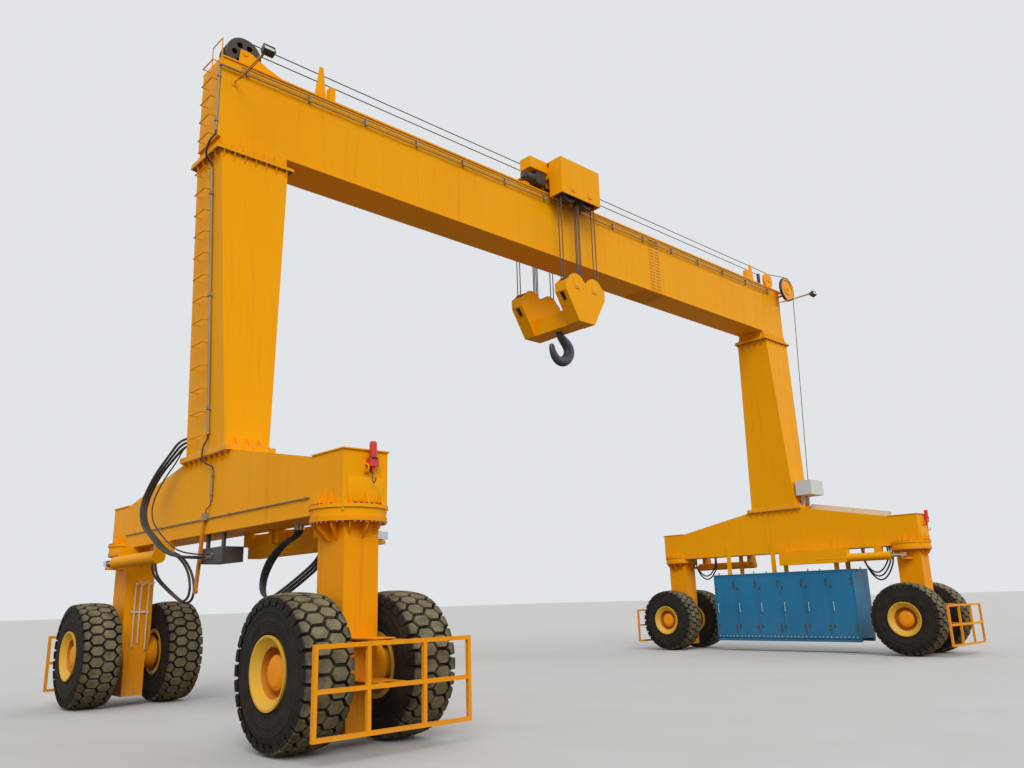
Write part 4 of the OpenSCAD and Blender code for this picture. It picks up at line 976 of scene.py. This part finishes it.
bundle = [(-0.394, 0.870, 1.560), (-0.470, 1.010, 1.400), (-0.560, 1.420, 1.120), (-0.640, 1.760, 0.640),
          (-0.700, 1.480, 0.260), (-0.706, 0.980, 0.020), (-0.700, 0.560, -0.200), (-0.640, 0.120, -0.350)]
thin = [(-0.424, 0.860, 1.480), (-0.480, 0.900, 1.310), (-0.590, 1.160, 1.010), (-0.660, 1.400, 0.640),
        (-0.720, 1.200, 0.340), (-0.760, 0.820, 0.140), (-0.760, 0.420, -0.070), (-0.700, 0.060, -0.260),
        (-0.560, -0.300, -0.330)]
for k in range(3):
    lift = [max(0, 0.040 - 0.020 * i) * k for i in range(len(bundle))]
    path = [(x - SIDE - GAP * k, y - 0.030 * k, z + BEAM_Z + rise) for (x, y, z), rise in zip(bundle, lift)]
    box_end = [(-9.370, -0.160 - 0.100 * k, 2.490), (-9.2905, -0.160 - 0.100 * k, 2.490)]
    hose(from_leg(-SIDE - 0.234 - 0.050 * k, 4.500 + 0.045 * k) + path + box_end, HOSE_R)
path = [(x - SIDE, y, z + BEAM_Z) for x, y, z in thin]
box_end = [(-9.370, -0.430, 2.534), (-9.2905, -0.430, 2.534)]
hose(from_leg(-SIDE - 0.364, 4.440) + path + box_end, THIN_R)


def under(x, y0, y1, points):
    """A path that leaves the beam's underside and comes back to it."""
    return [(x, y0, BEAM_Z), (x, y0, BEAM_Z - 0.080)] + points + [(x, y1, BEAM_Z - 0.080), (x, y1, BEAM_Z)]


loop = [(2.290, -0.170), (1.900, -0.250), (1.500, -0.450), (1.290, -0.710), (1.300, -0.960), (1.580, -1.050),
        (1.950, -0.940), (2.480, -0.744), (2.920, -0.560), (3.080, -0.380)]


def wide(x, e, shift, k):
    """A hose of the left beam, which swings wide of the kingpost."""
    path = [(x, e * (y - shift - 0.040 * k), BEAM_Z + z - (0.030 * k if z < -0.3 else 0)) for y, z in loop]
    hose(under(x, e * (2.310 - shift), e * (3.100 - shift), path), HOSE_R)


def short(x, y0, y1, sag):
    """A hose of the right beam, which hangs in a plain loop."""
    high, deep = BEAM_Z - sag * 0.6, BEAM_Z - sag * 1.15
    path = [(x, y0, high), (x, (2 * y0 + y1) / 3, deep), (x, (y0 + 2 * y1) / 3, deep), (x, y1, high)]
    hose(under(x, y0, y1, path), HOSE_R)


for k in range(3):
    wide(0.066 + GAP * k - SIDE, -1, 0, k)
    short(SIDE + 0.036 + GAP * k, -2.420, -3.150 - 0.040 * k, 0.600 + 0.090 * k)
for k in range(2):
    wide(-0.114 + GAP * k - SIDE, 1, 0.400, k)
    short(SIDE - 0.114 + GAP * k, 2.420, 3.150 + 0.040 * k, 0.500 + 0.090 * k)
# cables of the left leg: round the flanges, over the foot flange and into the junction box
hose([(-9.683, -0.39, 9.8755), (-9.683, -0.39, 9.8155), (-9.735, -0.365, 9.740), (-9.765, -0.310, 9.640),
      (-9.768, -0.240, 9.520), (-9.735, -0.190, 9.420), (-9.6229, -0.190, 9.3395), (-9.6229, -0.190, 9.2795)],
     0.0185, False)
hose([(-9.3939, -0.190, 4.4705), (-9.3939, -0.190, 4.4105), (-9.4325, -0.130, 4.300),
      (-9.4365, -0.090, 4.160), (-9.4205, -0.080, 4.060), (-9.3705, -0.180, 3.985), (-9.3375, -0.325, 3.940),
      (-9.3375, -0.325, 3.8805)], 0.0135, False)
hose([(-9.3375, -0.325, 3.3895), (-9.3375, -0.325, 3.330), (-9.3445, -0.250, 3.270), (-9.3445, -0.180, 3.260),
      (-9.3445, -0.180, 3.2005)], 0.0085, False)
hose_piece = dress(weld("hose_runs", runs), "hose_runs", "frame", hose_rubber)
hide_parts("hoses")
dress(weld("hose_ends", ends), "hose_ends", "frame", zinc)
print("hoses", len(hose_piece.data.polygons), "faces")

# %% [markdown]
# ## Hoist ropes
# Sixteen falls run between the trolley's sheaves and the hook block's. Each is a circle drawn straight
# up in forty steps, and it rides on no body.

# %% Hoist ropes
ROPE_R = 0.0128
ROPE_OFF = 0.2863
FALL_STEPS = 40
falls = []
for s in (-1, 1):
    for g in (-0.05, 0.05):
        for x in (-AXLE_X, AXLE_X):
            for q in (-1, 1):
                empty_hands()
                start = (TROLLEY + x + q * ROPE_OFF, s * 0.755 + g, BLOCK_Z)
                bpy.ops.mesh.primitive_circle_add(vertices=12, radius=ROPE_R, location=start)
                fall = settle(bpy.context.object)
                climb = {"value": (0, 0, (HEAD_Z - BLOCK_Z) / FALL_STEPS)}
                with editing():
                    for i in range(FALL_STEPS):
                        bpy.ops.mesh.extrude_region_move(TRANSFORM_OT_translate=climb)
                falls.append(fall)
falls_piece = dress(weld("falls", falls), "rope_falls", None, rope_finish, merge=False)
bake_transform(falls_piece)
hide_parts("hoist_ropes")
print("rope falls", len(falls))

# %% [markdown]
# ## The hook
# Rings stand along the hook's line, each with its own half sizes, and are bridged. A subdivision then
# rounds the forging. The shank and the nut are turned pieces.

# %% Hook
HOOK_Z = 8.03
# each row: place along X and Z from the hook's head, half width and half depth, in millimetres
ROWS = [(0, 8, 76, 76), (0, -30, 80, 80), (30, -90, 95, 88), (110, -155, 120, 96), (215, -230, 145, 104),
        (300, -320, 165, 110), (335, -430, 168, 112), (300, -545, 158, 110), (215, -650, 145, 104),
        (95, -725, 136, 100), (-40, -740, 126, 96), (-160, -680, 115, 88), (-240, -575, 103, 80),
        (-275, -460, 90, 70), (-287, -365, 70, 56), (-290, -325, 34, 30)]
rings = []
for i, (x, z, half_wide, half_deep) in enumerate(ROWS):
    before, after = ROWS[max(i - 1, 0)], ROWS[min(i + 1, len(ROWS) - 1)]
    way = Vector((after[0] - before[0], 0, after[1] - before[1])).normalized()
    empty_hands()
    bpy.ops.mesh.primitive_circle_add(vertices=20, radius=0.001)
    ring = bpy.context.object
    turn = Matrix(((way.z, 0, way.x), (0, 1, 0), (-way.x, 0, way.z))).to_4x4()
    place = at(TROLLEY + x / 1000, 0, HOOK_Z + z / 1000)
    ring.data.transform(place @ turn @ Matrix.Diagonal((half_wide, half_deep, 1, 1)))
    rings.append(ring)
forging = weld("hook_body", rings)
take(forging)
with editing():
    bpy.ops.mesh.bridge_edge_loops()
    bpy.ops.mesh.select_all(action="DESELECT")
    bpy.ops.mesh.select_non_manifold()
    bpy.ops.mesh.edge_face_add()
soften = forging.modifiers.new("soften", "SUBSURF")
soften.levels = 1
bpy.ops.object.modifier_apply(modifier="soften")
forging = weld("hook_body", [forging, drum((TROLLEY, 0, 8.02), (TROLLEY, 0, 8.302), 0.075, 40)])
dress(forging, "hook_body", "hook", forged, angle=50)
nut = drum((TROLLEY, 0, 8.3003), (TROLLEY, 0, 8.49), 0.130, 40, 0.006)
dress(nut, "hook_nut", "hook", oily_dark)
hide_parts("hook")
print("hook", len(forging.data.polygons), "faces")

# %% [markdown]
# ## Pipes on a kingpost
# Three thin pipes climb the front face of the rear left kingpost under one strap.

# %% Pipes on the rear left kingpost
pipes = []
for x, low in ((-9.050, 1.05), (-8.950, 1.12), (-8.810, 1.00)):
    pipes.append(tube([(x, POST - 0.36, low), (x, POST - 0.36, 2.10), (x + 0.03, POST - 0.37, 2.20),
                       (x + 0.10, POST - 0.40, 2.23)], 0.014))
pipes.append(block((-9.10, POST - 0.352, 1.66), (-8.77, POST - 0.335, 1.70), 0.003))
dress(weld("post_pipes", pipes), "post_pipes", "kingpost_rl", pale_paint)
print("kingpost pipes ready")

# %% [markdown]
# ## Pin covers
# Square plates keep the sheave pins in the trolley's boxes and in the hook block's cheeks. Each has a
# small dome in the middle and a bolt in each corner.

# %% Pin covers
COVER_T = 0.014


def cover(x, y, z, q, size=0.075):
    near, far = sorted((y, y + q * COVER_T))
    plate = block((x - size, near, z - size), (x + size, far, z + size), 0.003)
    dome = drum((x, y + q * 0.012, z), (x, y + q * 0.020, z), size * 0.45, 20, 0.002)
    return [plate, dome]


for body, face, z in (("trolley", 0.96, HEAD_Z), ("hook_block", 0.935, BLOCK_Z)):
    plates, spots = [], []
    for q in (-1, 1):
        for x in (TROLLEY - AXLE_X, TROLLEY + AXLE_X):
            plates += cover(x, q * face, z, q)
            spots += [pin_up((x + a * 0.055, q * (face + COVER_T), z + b * 0.055), (0, q, 0), 0.6)
                      for a in (-1, 1) for b in (-1, 1)]
    dress(weld("covers", plates), "pin_covers_" + body, body, amber)
    bolts("pin_cover_bolts_" + body, body, spots)
print("pin covers ready")

# %% [markdown]
# ## Power pack doors
# Each door has black hinges on one side, a pale handle and two latches on the other, and a row of rivets
# at its foot. One of each is modelled at the origin and copied along both faces of the cabinet. A rim
# and lifting eyes finish its top.

# %% Door fittings
FACE_IN = 8.500
FACE_OUT = 9.430
DOORS = 6
DOORS_LONG = 4.6
hinge_pin = drum((-0.012, 0, -0.045), (-0.012, 0, 0.045), 0.011, 12)
hinge = weld("hinge", [hinge_pin, block((-0.008, -0.002, -0.04), (0, 0.05, 0.04))])
handle_bar = drum((-0.034, 0, -0.13), (-0.034, 0, 0.13), 0.008, 10)
stand_offs = [drum((-0.034, 0, z), (0.0, 0, z), 0.008, 10) for z in (0.12, -0.12)]
handle = weld("handle", [handle_bar] + stand_offs)
latch_base = block((-0.010, -0.025, -0.05), (0, 0.025, 0.05), 0.003)
latch_plate = weld("latch", [latch_base, drum((-0.02, 0, 0), (0, 0, 0), 0.012, 12)])
half_turn = Matrix.Rotation(pi, 4, "Z")
hinges, handles, latches, rivets = [], [], [], []
for i in range(DOORS):
    y = ((i + 0.5) / DOORS - 0.5) * DOORS_LONG
    for face, turn, q in ((FACE_IN, Matrix.Identity(4), 1), (FACE_OUT, half_turn, -1)):
        hinges += [at(face, y - q * 0.325, z) @ turn for z in (0.62, 0.74, 1.90, 2.02)]
        handles.append(at(face, y + q * 0.27, 1.28) @ turn)
        latches += [at(face, y + q * 0.31, z) @ turn for z in (0.75, 1.85)]
        rivets += [pin_up((face, y + d, 0.44), (-q, 0, 0), 0.7)
                   for d in (-0.30, -0.18, -0.06, 0.06, 0.18, 0.30)]
dress(stamp("hinges", hinge, hinges), "door_hinges", "frame", oily_dark, merge=False)
white_bits = painted("white_bits", (0.62, 0.64, 0.64), (0.7, 0.7, 0.68), rough=0.35, dust=0.25)
dress(stamp("handles", handle, handles), "door_handles", "frame", white_bits, merge=False)
dress(stamp("latches", latch_plate, latches), "door_latches", "frame", oily_dark, merge=False)
bolts("door_rivets", "frame", rivets, white_bits)
throw_away(hinge, handle, latch_plate)
lids = [block((8.485, -2.315, 2.262), (9.445, 2.315, 2.290), 0.006)]
lids += [block((8.492, -2.308, 0.395), (9.438, 2.308, 0.425), 0.004)]
dress(weld("lid", lids), "cabinet_trim", "frame", cabinet)
eyes = [ring_of((x, y, 2.325), 0.030, 0.008, (pi / 2, 0, 0), 20) for x in (8.60, 9.33)
        for y in (-2.15, -0.9, 0.9, 2.15)]
dress(weld("eyes", eyes), "cabinet_eyes", "frame", oily_dark)
print("cabinet dressed")

# %% [markdown]
# ## Small steelwork
# Gusset plates stand on the guard arms, two cover plates and a lug on each beam end, and clips hold the
# trolley's rails.

# %% Guard gussets
GUSSET = [(-0.24, 0.322), (0.24, 0.322), (0.165, 0.86), (-0.165, 0.86)]
for corner, (s, e) in CORNERS.items():
    cx, cy = s * SIDE, e * POST
    made = []
    for z in (0.795, 1.287):
        plate = drawn_piece("gusset", [(cx + x, cy + e * y, z) for x, y in GUSSET], faces=[(0, 1, 2, 3)])
        with editing():
            bpy.ops.mesh.extrude_region_move(TRANSFORM_OT_translate={"value": (0, 0, 0.012)})
        made.append(plate)
    # the gussets take the guards' amber with painted shade
    dress(weld("gussets", made), "guard_gussets_" + corner, "kingpost_" + corner, amber_shade_low)
print("gussets ready")

# %% Beam end covers, lugs and rail clips
def at_end(e, lo, hi, bevel):
    """A block that is given for the rear end of a beam, put at the end e."""
    near, far = sorted((e * lo[1], e * hi[1]))
    return block((lo[0], near, lo[2]), (hi[0], far, hi[2]), bevel)


covers, lugs = [], []
for s in (-1, 1):
    for e in (-1, 1):
        cx = s * SIDE
        covers.append(at_end(e, (cx - 0.36, 3.44, 3.660), (cx + 0.36, 4.245, 3.682), 0.004))
        covers.append(at_end(e, (cx - 0.27, 4.215, 2.99), (cx + 0.27, 4.232, 3.30), 0.003))
        lugs.append(ring_of((cx, e * 4.235, 3.43), 0.055, 0.013, (0, pi / 2, 0), 24, 10))
        lugs += [at_end(e, (cx - 0.035, 4.215, 3.36), (cx - 0.020, 4.245, 3.50), 0.003),
                 at_end(e, (cx + 0.020, 4.215, 3.36), (cx + 0.035, 4.245, 3.50), 0.003)]
dress(weld("covers", covers), "beam_end_covers", "frame", amber)
dress(weld("lugs", lugs), "beam_end_lugs", "frame", amber)
clip_plate = block((-0.05, 0.02, 0), (0.05, 0.075, 0.014), 0.003)
clip = weld("clip", [clip_plate, drum((0, 0.055, 0.012), (0, 0.055, 0.034), 0.014, 6)])
spots = []
for i in range(26):
    x = -7.5 + i * 0.62
    for y in (-0.3, 0.3):
        spots += [at(x, y + 0.012, GIRDER_TOP), at(x, y - 0.012, GIRDER_TOP) @ half_turn]
dress(stamp("clips", clip, spots), "rail_clips", "frame", oily_dark, merge=False)
throw_away(clip)
print("rail clips", len(spots))

# %% [markdown]
# ## Lamps and beacons
# Each floodlight gets ribbed glass in a frame, cooling fins behind and a cable along its arm. Each
# beacon gets rings, a cap and a foot, with a bent hook on the beam below it.

# %% Floodlight glass, frames, fins and cables
glass, tree, shader = new_finish("lamp_glass")
where = tree.nodes.new("ShaderNodeTexCoord").outputs["Object"]
ribs = tree.nodes.new("ShaderNodeTexWave")
ribs.bands_direction = "X"
ribs.inputs["Scale"].default_value = 14
tree.links.new(where, ribs.inputs["Vector"])
tree.links.new(mix(tree, ribs.outputs["Fac"], (0.42, 0.47, 0.5, 1), (0.72, 0.76, 0.78, 1)),
               shader.inputs["Base Color"])
tree.links.new(ramp(tree, ribs.outputs["Fac"], 0, 1, 0.08, 0.2), shader.inputs["Roughness"])
shader.inputs["Coat Weight"].default_value = 0.6
LAMP_Z = 10.960
LAMP_TILT = radians(-25)
frame_sides = (((-0.110, -0.100, 0.002), (0.110, -0.072, 0.013)),
               ((-0.110, -0.088, -0.113), (0.110, -0.072, -0.100)),
               ((-0.110, -0.088, -0.113), (-0.094, -0.072, 0.013)),
               ((0.094, -0.088, -0.113), (0.110, -0.072, 0.013)))


def on_lamp(home, lo, hi, bevel=0.0):
    """A block given in a floodlight's own tilted frame."""
    piece = block(lo, hi, bevel)
    piece.data.transform(home)
    return piece


panes, frames, cables = [], [], []
for x in (-9.400, 9.450):
    home = at(x, -1.6515, LAMP_Z - 0.014) @ Matrix.Rotation(LAMP_TILT, 4, "X")
    panes.append(on_lamp(home, (-0.092, -0.083, -0.097), (0.092, -0.076, -0.003), 0.002))
    frames += [on_lamp(home, lo, hi, 0.002) for lo, hi in frame_sides]
    for i in range(6):
        frames.append(on_lamp(home, (-0.094 + 0.036 * i, 0.036, -0.100), (-0.086 + 0.036 * i, 0.058, 0.002)))
    sag = [(0, -0.410, 0.040), (0.012, -0.50, 0.006), (0.018, -0.80, -0.030), (0.018, -1.20, -0.028),
           (0.012, -1.48, -0.020), (0, -1.575, -0.030)]
    cables.append(tube([(x + across, y, LAMP_Z + z) for across, y, z in sag], 0.007))
dress(weld("panes", panes), "lamp_panes", "frame", glass)
dress(weld("frames", frames), "lamp_frames", "frame", oily_dark)
dress(weld("cables", cables), "lamp_cables", "frame", hose_rubber)
print("lamps ready")

# %% Beacon rings and hooks
rings, hooks = [], []
for s in (-1, 1):
    x, y = (9.150 if s > 0 else -8.890), -4.275
    rings += [ring_of((x, y, z), 0.050, 0.004, (0, 0, 0), 28, 6) for z in (3.60, 3.64, 3.68, 3.72)]
    rings.append(drum((x, y, 3.765), (x, y, 3.785), 0.036, 24, 0.004))
    hooks.append(drum((x, y, 3.555), (x, y, 3.578), 0.062, 24, 0.003))
    bend = [(-4.262, 3.40), (-4.268, 3.33), (-4.275, 3.27), (-4.30, 3.235), (-4.335, 3.255), (-4.345, 3.30)]
    hooks.append(tube([(x, *spot) for spot in bend], 0.008))
dress(weld("beacon_rings", rings), "beacon_rings", "frame", signal_red)
dress(weld("beacon_hooks", hooks), "beacon_hooks", "frame", oily_dark)
throw_away(bolt)
print("beacons ready")
